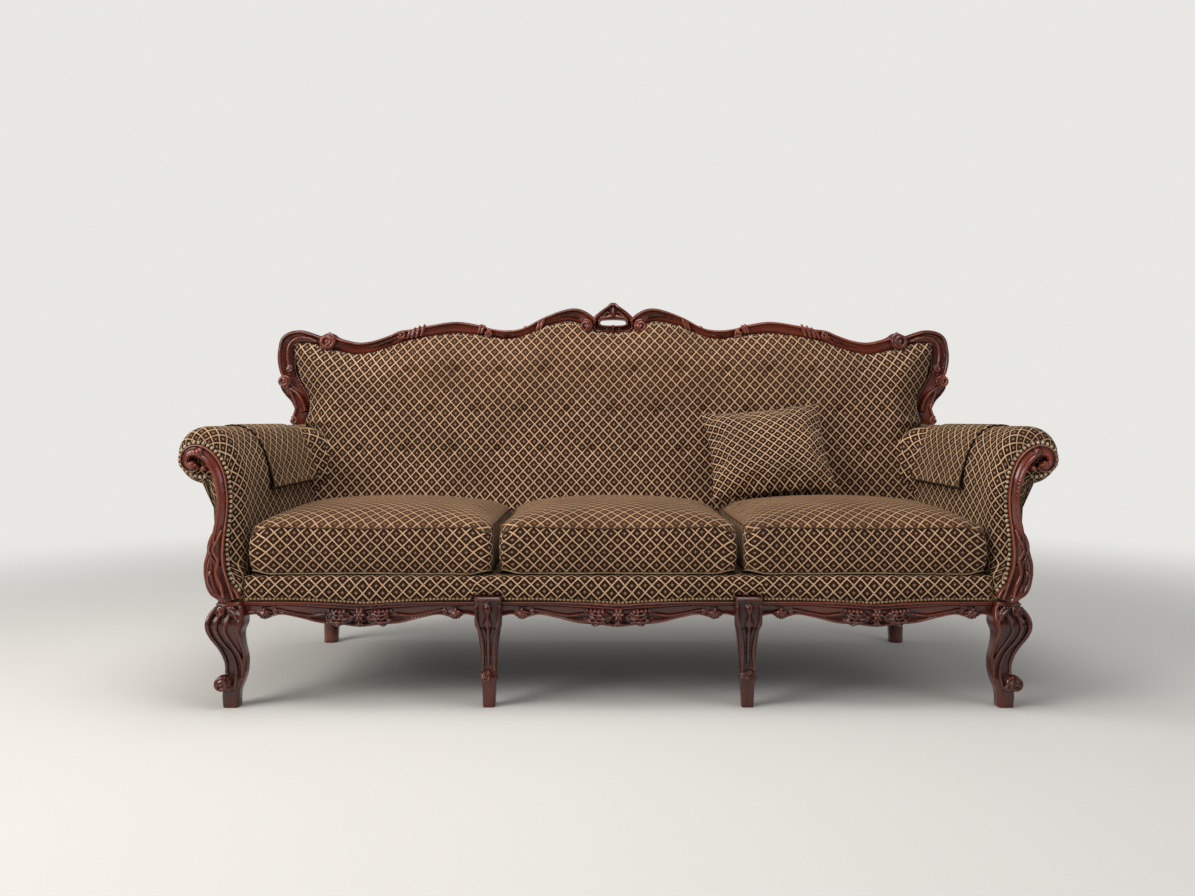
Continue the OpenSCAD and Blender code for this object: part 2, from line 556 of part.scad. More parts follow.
// Clear width and top of the inside back, as shares like the crest's
back_side_shares = [[-0.3, 0.844], [-0.02, 0.844], [0.02, 0.88], [0.112, 0.894], [0.222, 0.895], [0.318, 0.913],
    [0.381, 0.926], [0.44, 0.932], [0.5, 0.937], [0.6, 0.945], [0.68, 0.942]];
back_top_shares = [[0, 0.735], [0.0605, 0.744], [0.085, 0.774], [0.112, 0.824], [0.146, 0.826], [0.202, 0.795],
    [0.25, 0.73], [0.283, 0.696], [0.325, 0.686], [0.37, 0.72], [0.4, 0.745], [0.468, 0.765], [0.546, 0.735],
    [0.594, 0.704], [0.63, 0.678], [0.663, 0.622], [0.713, 0.577], [0.761, 0.561], [0.815, 0.586],
    [0.847, 0.614], [0.871, 0.636], [0.9, 0.655], [0.945, 0.655]];
function top_of_back(s) = on_back([0, pick(back_top_shares, abs(s) * 0.945)])[1];
tuft_x = 134;
tuft_shares = [0.109, -0.198, 0.428];
tuft_depth = 9;
back_cols = 28;
back_rows = 11;
// Thickness of the inside back's padding at its top and edges, and what it gains towards the seat
pad_base = 118;
pad_top = 42;
pad_edge = 6;
pad_low = deck_top + soft_gap;
pad_peak = on_back([0, 0.826])[1];
function swell(s, v, z) = let(edge = min(1, (1 - abs(s)) * 7, (1 - v) * 5))
    pad_edge + (pad_base * (pad_peak - z) / (pad_peak - pad_low) + pad_top) * sqrt(max(0, edge));
function dimple(x, z) = min([for (k = [0 : 2])
    let(zk = on_back([0, tuft_shares[k]])[1], c = k == 0 ? 0 : 0.5,
        dx = (x / tuft_x - c - round(x / tuft_x - c)) * tuft_x, dz = z - zk)
    -tuft_depth * exp(-(dx * dx + dz * dz) / (tuft_depth * tuft_depth * 8))]);
module back_pad() {
    grid = [for (j = [0 : back_rows]) [for (i = [-back_cols / 2 : back_cols / 2])
        let(s = i * 2 / back_cols, v = j / back_rows,
            top = top_of_back(s) - edge_gap * 2,
            z = pad_low + (top - pad_low) * v,
            x = s * (half_w * pick(back_side_shares, (z - arm_h) / (body_h - arm_h)) - edge_gap))
        [x, z, swell(s, v, z) + dimple(x, z)]]];
    back = web_y - strap_t - hessian_t - soft_gap;
    front_pts = [for (r = grid) for (p = r) [p[0], lean_y(p[1]) + back - p[2], p[1]]];
    back_pts = [for (r = grid) for (p = r) [p[0], lean_y(p[1]) + back, p[1]]];
    color(fabric) shell(front_pts, back_pts, back_cols + 1, back_rows + 1);
}
// Closed skin between two grids of points, each with the same columns and rows
module shell(front, back, cols, rows) {
    n = cols * rows;
    cells = [for (j = [0 : rows - 2]) for (i = [0 : cols - 2]) j * cols + i];
    faces = concat(
        [for (c = cells) each [[c, c + cols, c + 1], [c + 1, c + cols, c + cols + 1]]],
        [for (c = cells) each [[n + c, n + c + 1, n + c + cols], [n + c + 1, n + c + cols + 1, n + c + cols]]],
        [for (i = [0 : cols - 2]) each let(t = (rows - 1) * cols + i)
            [[i, i + 1, n + i], [i + 1, n + i + 1, n + i], [t, n + t, t + 1], [t + 1, n + t, n + t + 1]]],
        [for (j = [0 : rows - 2]) each let(a = j * cols, b = a + cols - 1)
            [[a, n + a, a + cols], [a + cols, n + a, n + a + cols],
            [b, b + cols, n + b], [b + cols, n + b + cols, n + b]]]);
    polyhedron(concat(front, back), faces);
}

// Fabric of the outside back, stretched over the rear of the frame
module outside_back_panel() {
    function edge_x(z) = half_w * pick(back_side_shares, (z - arm_h) / (body_h - arm_h)) - edge_gap;
    top = [for (i = [-back_cols / 2 : back_cols / 2]) let(s = i * 2 / back_cols,
        z = top_of_back(s) - edge_gap * 3) [s * edge_x(z), z]];
    side = [for (s = curve(back_side_shares, 2)) let(z = on_back([0, s[0]])[1])
        if (z > rail_top && z < top[0][1]) [edge_x(z), z]];
    outline = concat(top, reversed(side), [[edge_x(rail_top), rail_top], [-edge_x(rail_top), rail_top]],
        [for (p = side) [-p[0], p[1]]]);
    color(fabric) translate([0, back_y, rail_z]) rotate([90 - back_rake, 0, 0])
        linear_extrude(panel_t - seam_gap) polygon([for (p = outline) [p[0], up_lean(p[1])]]);
}

// Padded arm: the roll on top of an upright pad, with slots for the two rails inside
roll_x = half_w - roll_r;
roll_z = arm_h - roll_r;
arm_out = arm_in + arm_t;
// Shares of the way from the arm's inner face to the roll's middle, and of the pad's height
inner_arm_shares = [[0, 0], [0, 0.3], [0, 0.62], [0.13, 0.78], [0.32, 0.9], [0.53, 0.965], [1, 1]];
function on_inner_arm(s, low) = [-(arm_in + s[0] * (roll_x - arm_in)), low + min(1, s[1]) * (arm_h - low)];
module arm_outline(low) {
    inner = [for (s = curve(inner_arm_shares, 3)) on_inner_arm(s, low)];
    polygon(concat(inner, [[-roll_x, roll_z], [-arm_out, roll_z], [-arm_out, low]]));
    translate([-roll_x, roll_z]) circle(r = roll_r, $fn = 72);
}
module arm_pad(side) {
    low = rail_top + soft_gap;
    length = lean_y(arm_h) - frame_front - panel_t;
    color(fabric) on_side(side) {
        difference() {
            translate([0, frame_front, 0]) mirror([0, 1, 0]) rotate([90, 0, 0])
                linear_extrude(length) arm_outline(low);
            // Cut back to the leaning plane of the posts
            translate([-half_w * 1.1, 0, 0]) lean_slab(0, half_w, 0, body_h, web_y + half_w - soft_gap, half_w);
            translate([-arm_rail_x - arm_rail_t / 2 - seam_gap, frame_front + panel_t - overrun, arm_rail_z - seam_gap])
                cube([arm_rail_t + seam_gap * 2, length + overrun * 2, arm_rail_h + seam_gap * 2]);
            translate([-side_inner - rail_t - seam_gap, frame_front + panel_t - overrun, rail_top + arm_t - seam_gap])
                cube([rail_t + seam_gap * 2, length + overrun * 2, rail_t + seam_gap * 2]);
        }
        // Front facing, which runs down to the seat rails beside the post
        translate([0, frame_front, 0]) rotate([90, 0, 0]) linear_extrude(panel_t) arm_outline(rail_z);
    }
}
module outside_arm_panel(side) {
    color(fabric) on_side(side) translate([-arm_out - seam_gap - panel_t, frame_front + panel_t, rail_top + seam_gap])
        cube([panel_t, pad_back - frame_front - panel_t, roll_z - roll_r - rail_top - seam_gap * 2]);
}

// Loose cushion: drawn-in sides, a seam round the top and bottom, and a crown.
// Levels are inset, height as a share of the seam, and share of the crown
cushion_shares = [[0.3, 0, 0], [0.05, 0.01, 0], [0.012, 0.05, 0], [0.02, 0.3, 0], [0.02, 0.72, 0], [0, 1, 0],
    [0.05, 1, 0.3], [0.15, 1, 0.64], [0.3, 1, 0.9]];
ring_points = 40;
function boxy(a, w, d) = let(c = cos(a), s = sin(a), q = pow(pow(abs(c), 9) + pow(abs(s), 9), -1 / 9))
    [w / 2 * c * q, d / 2 * s * q];
module cushion(x, w) {
    rings = [for (l = cushion_shares) [for (k = [0 : ring_points - 1])
        let(p = boxy(360 * k / ring_points, w - 2 * l[0] * cushion_d, cushion_d * (1 - 2 * l[0])),
            pull = 1 - 0.012 * (1 - l[2]) * pow(cos(180 * k / ring_points * 4), 2))
        [x + p[0] * pull, cushion_y + p[1] * pull, cushion_z + cushion_h * l[1] + cushion_crown * l[2]]]];
    top = [for (p = rings[len(rings) - 1]) [x + (p[0] - x) * 0.4, cushion_y + (p[1] - cushion_y) * 0.4,
        cushion_z + cushion_h + cushion_crown]];
    color(fabric) loft(concat(rings, [top]));
}
cushion_y = frame_front - band_t + cushion_d / 2;
side_cushion_w = (seat_w - mid_cushion_w) / 2 - cushion_gap * 2;
side_cushion_x = (mid_cushion_w + side_cushion_w) / 2 + cushion_gap;
module seat_cushion_left() { cushion(-side_cushion_x, side_cushion_w); }
module seat_cushion_center() { cushion(0, mid_cushion_w); }
module seat_cushion_right() { cushion(side_cushion_x, side_cushion_w); }

// Arm cover: a loose sheet over the roll, its inner flap hanging, with slight folds
cover_rows = 9;
cover_flap = 90;
cover_y = frame_front + roll_r * 2.8;
cover_lift = soft_gap * 3;
// Where the arm's inner slope meets the roll
cover_share = 0.6;
module arm_cover(side) {
    low = rail_top + soft_gap;
    function wave(j) = (1 + sin(540 * j / (cover_rows - 1))) * soft_gap * 2;
    // Follows the arm's own outline from its outer side, over the roll, down to the inner flap
    inner = [for (s = reversed(curve(inner_arm_shares, 3))) let(p = on_inner_arm(s, low))
        if (s[0] < cover_share && p[1] > roll_z - cover_flap) p];
    line = concat([for (a = [171 : -13.5 : 63]) [-roll_x + cos(a) * roll_r, roll_z + sin(a) * roll_r]], inner,
        [[-arm_in, roll_z - cover_flap]]);
    n = len(line);
    function off(i, j, t) = let(h = heading(line, i), d = cover_lift + wave(j) * i / n + t)
        [line[i][0] - h[1] * d, cover_y + cover_l * j / (cover_rows - 1), line[i][1] + h[0] * d];
    color(fabric) on_side(side) shell(
        [for (j = [0 : cover_rows - 1]) for (i = [0 : n - 1]) off(i, j, cloth_t)],
        [for (j = [0 : cover_rows - 1]) for (i = [0 : n - 1]) off(i, j, 0)], n, cover_rows);
}

// Throw pillow: two crowned faces meeting in a knife edge. It stands on a cushion's crown, a share of
// its height below its middle, and leans on the back
pillow_shares = [[0.36, -0.5], [0.2, -0.44], [0.08, -0.28], [0.02, -0.1], [0, 0], [0.02, 0.1], [0.08, 0.28],
    [0.2, 0.44], [0.36, 0.5]];
pillow_x = 436;
pillow_y = 147.6;
pillow_tilt = 37;
pillow_roll = 7;
pillow_share = 0.3628;
module throw_pillow() {
    rings = [for (l = pillow_shares) [for (k = [0 : ring_points - 1])
        let(a = 360 * k / ring_points, p = boxy(a, pillow_w - 2 * l[0] * pillow_h, pillow_h * (1 - 2 * l[0])),
            pull = 1 - 0.07 * pow(cos(2 * a), 2) * (1 - l[0])) [p[0] * pull, p[1] * pull, l[1] * pillow_t]]];
    color(fabric) translate([pillow_x, pillow_y, cushion_z + cushion_h + cushion_crown + pillow_h * pillow_share])
        rotate([90 - pillow_tilt, 0, 0]) rotate([0, 0, pillow_roll]) loft(rings);
}

module dust_cover() {
    cover_y0 = apron_front + apron_t + seam_gap;
    color(black_cloth) difference() {
        translate([-side_inner, cover_y0, rail_z - hessian_t])
            cube([side_inner * 2, rear_inner + rail_t - cover_y0, hessian_t]);
        // Cut round the tops of the legs
        for (side = [LEFT, RIGHT]) for (leg = [[side_rail_x, -front_y, foot_w], [mid_leg_x, mid_block_y, foot_w],
                [rear_leg_x, rear_leg_y, rear_foot_w]])
            translate([side * leg[0] - leg[2], leg[1] - leg[2], rail_z - hessian_t * 2])
                cube([leg[2] * 2, leg[2] * 2, hessian_t * 3]);
    }
}

// Braid that hides the tacks along the carved edges
gimp_w = 9;
gimp_t = 3;
// How far the inside back has swelled under the middle of its braid, and the share of its taper there
gimp_stand = 8.1;
gimp_swell = 0.3;
gimp_slope = pad_base * gimp_swell / (pad_peak - pad_low);
braid_shares = [[-1, 0], [-0.7, 0.8], [0, 1], [0.7, 0.8], [1, 0]];
module gimp_arm(side) {
    path = [for (s = curve([for (i = [1 : 13]) post_path_shares[i]], 2)) let(p = on_arm(s)) [p[0], p[1], s[2] * post_w]];
    line = [for (i = [0 : len(path) - 1]) let(h = heading(path, i), d = path[i][2] / 2 + gimp_w * 0.66)
        [path[i][0] + h[1] * d, path[i][1] - h[0] * d, gimp_w, gimp_t]];
    color(braid) on_side(side)
        sweep_front(line, braid_shares, frame_front - panel_t - seam_gap, 0);
}
module gimp_apron() {
    for (bay = [[-apron_end, -mid_leg_x - block_half], [-mid_leg_x + block_half, mid_leg_x - block_half],
            [mid_leg_x + block_half, apron_end]])
        color(braid) translate([bay[0] + seam_gap, frame_front - band_t - gimp_t - seam_gap * 2, rail_z + band_t * 0.4])
            cube([bay[1] - bay[0] - seam_gap * 2, gimp_t, gimp_w]);
}
module gimp_back() {
    line = [for (i = [-back_cols / 2 : back_cols / 2]) let(s = i * 2 / back_cols,
        z = top_of_back(s) - edge_gap * 2 - gimp_w * 0.8)
        [s * (half_w * pick(back_side_shares, (z - arm_h) / (body_h - arm_h)) - gimp_w * 1.2), z, gimp_w, gimp_t]];
    color(braid) sweep_front(line, braid_shares,
        lean_y(0) + web_y - strap_t - hessian_t - soft_gap * 2 - pad_edge - gimp_stand - gimp_slope * pad_peak,
        tan(back_rake) + gimp_slope);
}

crest_cartouche();
crest_rail(LEFT);  // crest_rail_left
crest_rail(RIGHT);  // crest_rail_right
back_stile(LEFT);  // back_stile_left
back_stile(RIGHT);  // back_stile_right
back_post(LEFT);  // back_post_left
back_post(RIGHT);  // back_post_right
rear_leg(LEFT);  // rear_leg_left
rear_leg(RIGHT);  // rear_leg_right
arm_post(LEFT);  // arm_post_left
arm_post(RIGHT);  // arm_post_right
front_leg(LEFT);  // front_leg_left
front_leg(RIGHT);  // front_leg_right
middle_leg(LEFT);  // middle_leg_left
middle_leg(RIGHT);  // middle_leg_right
apron(-apron_end, -mid_leg_x - block_half);  // apron_left
apron(-mid_leg_x + block_half, mid_leg_x - block_half);  // apron_center
apron(mid_leg_x + block_half, apron_end);  // apron_right
front_seat_rail();
rear_seat_rail();
side_seat_rail(LEFT);  // side_seat_rail_left
side_seat_rail(RIGHT);  // side_seat_rail_right
cross_rails();
corner_blocks();
corner_block_screws();
arm_top_rail(LEFT);  // arm_top_rail_left
arm_top_rail(RIGHT);  // arm_top_rail_right
arm_lower_rail(LEFT);  // arm_lower_rail_left
arm_lower_rail(RIGHT);  // arm_lower_rail_right
back_top_rail();
back_tack_rail();
back_uprights();
seat_webbing();
seat_hessian();
seat_deck();
deck_band();
back_webbing();
back_hessian();
back_pad();
outside_back_panel();
arm_pad(LEFT);  // arm_pad_left
arm_pad(RIGHT);  // arm_pad_right
outside_arm_panel(LEFT);  // outside_arm_panel_left
outside_arm_panel(RIGHT);  // outside_arm_panel_right
seat_cushion_left();
seat_cushion_center();
seat_cushion_right();
arm_cover(LEFT);  // arm_cover_left
arm_cover(RIGHT);  // arm_cover_right
throw_pillow();
dust_cover();
gimp_arm(LEFT);  // gimp_arm_left
gimp_arm(RIGHT);  // gimp_arm_right
gimp_apron();
gimp_back();
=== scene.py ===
"""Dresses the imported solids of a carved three-seat sofa: lacquered mahogany, trellis cloth and braid."""

import json
import logging
import math
from collections.abc import Callable, Iterable
from dataclasses import dataclass, field
from enum import Enum

import bpy
import numpy as np
from mathutils import Matrix, Vector

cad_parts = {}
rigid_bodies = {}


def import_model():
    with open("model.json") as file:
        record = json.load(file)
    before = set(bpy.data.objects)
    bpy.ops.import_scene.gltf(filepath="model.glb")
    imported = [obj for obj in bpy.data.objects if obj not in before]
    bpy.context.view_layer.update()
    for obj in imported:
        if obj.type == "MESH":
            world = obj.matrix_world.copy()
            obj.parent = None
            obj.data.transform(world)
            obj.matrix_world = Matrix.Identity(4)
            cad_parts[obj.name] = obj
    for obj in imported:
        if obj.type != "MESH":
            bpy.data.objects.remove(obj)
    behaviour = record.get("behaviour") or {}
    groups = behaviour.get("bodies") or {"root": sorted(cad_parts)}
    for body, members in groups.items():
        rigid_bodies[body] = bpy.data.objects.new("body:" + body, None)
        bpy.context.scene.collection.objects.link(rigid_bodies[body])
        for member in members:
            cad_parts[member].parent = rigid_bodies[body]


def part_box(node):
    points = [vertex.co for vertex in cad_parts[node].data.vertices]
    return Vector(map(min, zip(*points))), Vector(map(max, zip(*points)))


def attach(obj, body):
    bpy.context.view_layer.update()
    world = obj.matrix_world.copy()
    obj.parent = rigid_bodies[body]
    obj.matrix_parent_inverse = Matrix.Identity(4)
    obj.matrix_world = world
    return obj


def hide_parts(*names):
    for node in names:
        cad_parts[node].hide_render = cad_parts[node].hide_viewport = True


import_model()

MM = 0.001
FULL = 2 * math.pi
CLOTH_MAP = "cloth_map"
Array = np.ndarray
Socket = bpy.types.NodeSocket
Rows = tuple[tuple[float, ...], ...]
log = logging.getLogger("sofa")


class Side(Enum):
    """The two ends of the sofa, as seen from the front."""

    LEFT = "left"
    RIGHT = "right"


class Grain(Enum):
    """The way the grain runs in a board, as the stretch of its pattern along X, Y and Z."""

    ACROSS = (0.12, 1.0, 1.0)
    UPRIGHT = (1.0, 1.0, 0.12)


# ---- Colour and shader nodes


def linear(code: str) -> tuple[float, float, float, float]:
    """Turns an sRGB hex colour to linear RGBA.

    Args:
        code: the colour as six hex digits after a hash.

    Returns:
        Red, green, blue and an alpha of 1.
    """
    shares = [int(code[i:i + 2], 16) / 255 for i in (1, 3, 5)]
    return (*(c / 12.92 if c <= 0.04045 else ((c + 0.055) / 1.055) ** 2.4 for c in shares), 1.0)


@dataclass(frozen=True)
class Nodes:
    """A shader's node tree: each method adds a node, and gives back what it puts out."""

    tree: bpy.types.NodeTree

    def feed(self, node: bpy.types.Node, feeds: dict) -> None:
        """Fills a node's inputs.

        Args:
            node: the node.
            feeds: what goes into each input, by name or number: a socket, a constant or a hex colour.
        """
        for name, value in feeds.items():
            if isinstance(value, Socket):
                self.tree.links.new(value, node.inputs[name])
            else:
                node.inputs[name].default_value = linear(value) if isinstance(value, str) else value

    def put(self, kind: str, feeds: dict | None = None, **settings: object) -> bpy.types.Node:
        """Adds a shader node with its settings and links.

        Args:
            kind: the node's type without its ShaderNode prefix.
            feeds: what goes into its inputs.
            settings: the node's own properties.

        Returns:
            The new node.
        """
        node = self.tree.nodes.new("ShaderNode" + kind)
        for name, value in settings.items():
            setattr(node, name, value)
        self.feed(node, feeds or {})
        return node

    def sums(self, operation: str, *values: object) -> Socket:
        """Result of a Math node's operation on sockets or numbers."""
        return self.put("Math", dict(enumerate(values)), operation=operation).outputs[0]

    def times(self, first: object, second: object) -> Socket:
        """Product of two values."""
        return self.sums("MULTIPLY", first, second)

    def ease(self, value: Socket, low: float, high: float, to_low: float = 0.0,
             to_high: float = 1.0) -> Socket:
        """Smooth step of a value from one range to another.

        Args:
            value: the socket to map.
            low: where the step begins.
            high: where the step ends.
            to_low: the result at and before low.
            to_high: the result at and after high.

        Returns:
            The mapped value.
        """
        feeds = dict(enumerate((value, low, high, to_low, to_high)))
        return self.put("MapRange", feeds, interpolation_type="SMOOTHSTEP").outputs[0]

    def mix(self, share: object, first: object, second: object, way: str = "MIX") -> Socket:
        """Mixes two colours.

        Args:
            share: how much of the second colour shows.
            first: the first colour, as a socket or in hex.
            second: the second colour.
            way: the mixing mode.

        Returns:
            The mixed colour.
        """
        feeds = {0: share, 6: first, 7: second}
        return self.put("Mix", feeds, data_type="RGBA", blend_type=way).outputs[2]

    def noise(self, place: Socket, size_mm: float, detail: float = 2.0,
              rough: float = 0.5) -> bpy.types.Node:
        """A cloudy pattern.

        Args:
            place: the coordinates it lies on.
            size_mm: the size of its clouds.
            detail: how many finer layers it has.
            rough: how strong the finer layers are.

        Returns:
            The node: its first output is the pattern, its second one the same in three channels.
        """
        return self.put("TexNoise", {"Vector": place, "Scale": 1 / (size_mm * MM), "Detail": detail,
                                     "Roughness": rough})

    def place(self) -> Socket:
        """Place on the object."""
        return self.put("TexCoord").outputs["Object"]

    def cloth(self) -> Socket:
        """Place on the cloth, with its wear and painted sheen as the third value."""
        return self.put("Attribute", attribute_name=CLOTH_MAP).outputs["Vector"]

    def split(self, vector: Socket) -> bpy.types.bpy_prop_collection:
        """The three values of a vector."""
        return self.put("SeparateXYZ", {0: vector}).outputs

    def edges(self) -> Socket:
        """How sharp the form is: over a half on a swell, under it in a cut."""
        return self.put("NewGeometry").outputs["Pointiness"]

    def bump(self, height: Socket, depth_mm: float, strength: float) -> Socket:
        """The normal of a surface that a pattern raises.

        Args:
            height: the pattern, 0 to 1.
            depth_mm: the real depth of the pattern.
            strength: how much of it shows.

        Returns:
            The normal.
        """
        feeds = {"Height": height, "Distance": depth_mm * MM, "Strength": strength}
        return self.put("Bump", feeds).outputs[0]


@dataclass(frozen=True)
class Finish:
    """A finish, made once and shared by its pieces."""

    name: str

    def material(self) -> bpy.types.Material:
        """The finish's material, made at its first use."""
        made = bpy.data.materials.get(self.name)
        if made is None:
            made = bpy.data.materials.new(self.name)
            made.use_nodes = True
            made.node_tree.nodes.clear()
            nodes = Nodes(made.node_tree)
            shader = nodes.put("BsdfPrincipled")
            end = nodes.put("OutputMaterial", {"Surface": shader.outputs[0]})
            nodes.feed(shader, self.paint(nodes))
            self.cover(nodes, shader, end)
        return made

    def paint(self, nodes: Nodes) -> dict:
        """What goes into the shader's inputs, in each kind of finish."""
        raise NotImplementedError

    def cover(self, nodes: Nodes, shader: bpy.types.Node, end: bpy.types.Node) -> None:
        """What lies between the shader and the material's output: nothing, in most finishes."""


@dataclass(frozen=True)
class CarvedMahogany(Finish):
    """Mahogany, carved, stained and lacquered: red-brown on the swells, near black in the cuts."""

    grain: Grain = Grain.ACROSS
    deep: str = "#0d0402"
    body: str = "#4a1c11"
    warm: str = "#7a3424"
    worn: str = "#a8705a"
    pore_mm: float = 3.0
    figure_mm: float = 45.0
    smear_mm: float = 60.0
    # Clear lacquer, rubbed unevenly: it gives soft, narrow highlights
    dullness: tuple[float, float] = (0.22, 0.36)

    def paint(self, nodes: Nodes) -> dict:
        """Stain, glaze in the cuts, rubbed swells and open pores under a clear coat."""
        place = nodes.place()
        along = nodes.put("Mapping", {"Vector": place, "Scale": self.grain.value}).outputs[0]
        figure = nodes.noise(along, self.figure_mm, 4.0, 0.6).outputs[0]
        pores = nodes.noise(along, self.pore_mm, 3.0, 0.7).outputs[0]
        smear = nodes.noise(place, self.smear_mm, 3.0).outputs[0]
        stain = nodes.mix(nodes.ease(figure, 0.35, 0.68), self.body, self.warm)
        stain = nodes.mix(nodes.ease(pores, 0.5, 0.72, 0.0, 0.5), stain, self.deep)
        # Polish and dust gather in the cuts, and hands rub the swells
        edge = nodes.edges()
        stain = nodes.mix(nodes.ease(edge, 0.503, 0.462), stain, self.deep)
        stain = nodes.mix(nodes.ease(edge, 0.514, 0.57, 0.0, 0.62), stain, self.worn)
        return {"Base Color": stain, "Roughness": nodes.ease(smear, 0.3, 0.75, *self.dullness),
                "Specular IOR Level": 0.3, "Coat Weight": 0.5, "Coat Roughness": 0.13,
                "Normal": nodes.bump(pores, 0.25, 0.4)}


@dataclass(frozen=True)
class SawnBeech(Finish):
    """Beech, sawn and left bare: pale, pinkish and dull, with short dark flecks."""

    light: str = "#cda77a"
    dark: str = "#a97f52"
    stripe_mm: float = 20.0
    fleck_mm: float = 4.0

    def paint(self, nodes: Nodes) -> dict:
        """Pale stripes with flecks and saw marks."""
        along = nodes.put("Mapping", {"Vector": nodes.place(), "Scale": Grain.ACROSS.value}).outputs[0]
        stripe = nodes.noise(along, self.stripe_mm, 5.0).outputs[0]
        fleck = nodes.put("TexVoronoi", {"Vector": along, "Scale": 1 / (self.fleck_mm * MM)}).outputs[0]
        colour = nodes.mix(nodes.ease(stripe, 0.35, 0.7), self.light, self.dark)
        colour = nodes.mix(nodes.ease(fleck, 0.2, 0.05, 0.0, 0.5), colour, self.dark)
        return {"Base Color": colour, "Roughness": 0.75, "Normal": nodes.bump(stripe, 0.5, 0.5)}


@dataclass(frozen=True)
class TrellisCloth(Finish):
    """Chenille, woven with a trellis: soft beige lines on a dark brown ground, a floret in each diamond."""

    repeat_mm: float = 31.0
    line_share: float = 0.13
    line: str = "#bf9d7b"
    # Colours where the map's third value is high: wear and painted sheen, which lighten the ground on the
    # tops
    line_worn: str = "#a58362"
    ground: str = "#140804"
    ground_worn: str = "#50321f"
    field: str = "#412113"
    floret: str = "#9b8264"
    sheen: str = "#d8c4a0"
    # Real threads are 0.5 mm apart, drawn four times as coarse to show
    thread_mm: float = 2.1
    # The weave wavers over 20 mm by up to 2.2 mm, and fades in patches of 130 mm
    waver_mm: float = 20.0
    waver_by_mm: float = 2.2
    fade_mm: float = 130.0

    def paint(self, nodes: Nodes) -> dict:
        """The trellis from the cloth's own map, with wear and painted sheen in the map's third value."""
        cloth, times = nodes.cloth(), nodes.times
        waver = nodes.noise(cloth, self.waver_mm).outputs["Color"]
        shift = nodes.put("VectorMath", {0: waver, 1: (0.5, 0.5, 0.5)}, operation="SUBTRACT").outputs[0]
        by = (self.waver_by_mm * MM, self.waver_by_mm * MM, 0.0)
        shaken = nodes.put("VectorMath", {0: shift, 1: by, 2: cloth}, operation="MULTIPLY_ADD").outputs[0]
        x, y, worn = nodes.split(shaken)
        across, up = (nodes.sums("DIVIDE", value, self.repeat_mm * MM) for value in (x, y))
        # Wear and painted sheen, from the map's third value: the ground is drawn lighter where it is high
        wear = nodes.sums("MINIMUM", nodes.sums("MAXIMUM", worn, 0.0), 1.0)
        cell = [nodes.sums("FRACT", nodes.sums(way, across, up)) for way in ("ADD", "SUBTRACT")]
        off = [nodes.sums("ABSOLUTE", nodes.sums("SUBTRACT", share, 0.5)) for share in cell]
        nearest = nodes.sums("MAXIMUM", *off)
        edge = 0.5 - self.line_share / 2
        line = nodes.ease(nearest, edge - 0.035, edge + 0.03)
        heart, inner = nodes.ease(nearest, 0.15, 0.07), nodes.ease(nearest, 0.34, 0.22)
        fuzz = nodes.noise(cloth, self.thread_mm, 2.0, 0.6).outputs[0]
        faded = nodes.noise(nodes.place(), self.fade_mm, 4.0).outputs[0]
        ground = nodes.mix(times(inner, 0.6), self.ground, self.field)
        ground = nodes.mix(times(heart, 0.8), ground, self.floret)
        ground = nodes.mix(times(wear, 0.75), ground, self.ground_worn)
        yarn = nodes.mix(wear, self.line, self.line_worn)
        colour = nodes.mix(times(line, nodes.ease(fuzz, 0.2, 0.5, 0.72, 1.0)), ground, yarn)
        shade = times(nodes.ease(fuzz, 0.3, 0.7, 0.72, 1.2), nodes.ease(faded, 0.3, 0.7, 0.86, 1.12))
        tone = nodes.put("CombineColor", {0: shade, 1: shade, 2: shade}).outputs[0]
        relief = nodes.sums("MULTIPLY_ADD", line, 0.6, times(fuzz, 0.55))
        return {"Base Color": nodes.mix(1.0, colour, tone, "MULTIPLY"), "Roughness": 0.85,
                "Specular IOR Level": 0.15, "Sheen Weight": 0.1, "Sheen Roughness": 0.45,
                "Sheen Tint": self.sheen, "Normal": nodes.bump(relief, 1.1, 0.8)}


@dataclass(frozen=True)
class LoopedBraid(Finish):
    """Cotton gimp, looped over a cord: matt cream loops with brown shadow between them."""

    light: str = "#cbb899"
    # Brown for the threads' own tone and the soil, and for the painted shade in the cuts and under the loops
    dark: str = "#3b2b1d"
    thread_mm: float = 1.6
    soil_mm: float = 50.0

    def paint(self, nodes: Nodes) -> dict:
        """Twisted threads over each loop, with painted shade in the cuts and on the band under the loops, and
        soil in patches.
        """
        place = nodes.place()
        threads = nodes.noise(place, self.thread_mm).outputs[0]
        soil = nodes.noise(place, self.soil_mm, 3.0).outputs[0]
        colour = nodes.mix(nodes.ease(threads, 0.62, 0.3, 0.0, 0.7), self.light, self.dark)
        # Painted shade in the cuts between the loops and on the band under them, whose place the map's third
        # value marks, and soil in patches
        for share in (nodes.ease(nodes.edges(), 0.52, 0.46), nodes.ease(soil, 0.45, 0.75, 0.0, 0.6),
                      nodes.split(nodes.cloth())[2]):
            colour = nodes.mix(share, colour, self.dark)
        return {"Base Color": colour, "Roughness": 0.9, "Specular IOR Level": 0.2,
                "Normal": nodes.bump(threads, 0.8, 0.7)}


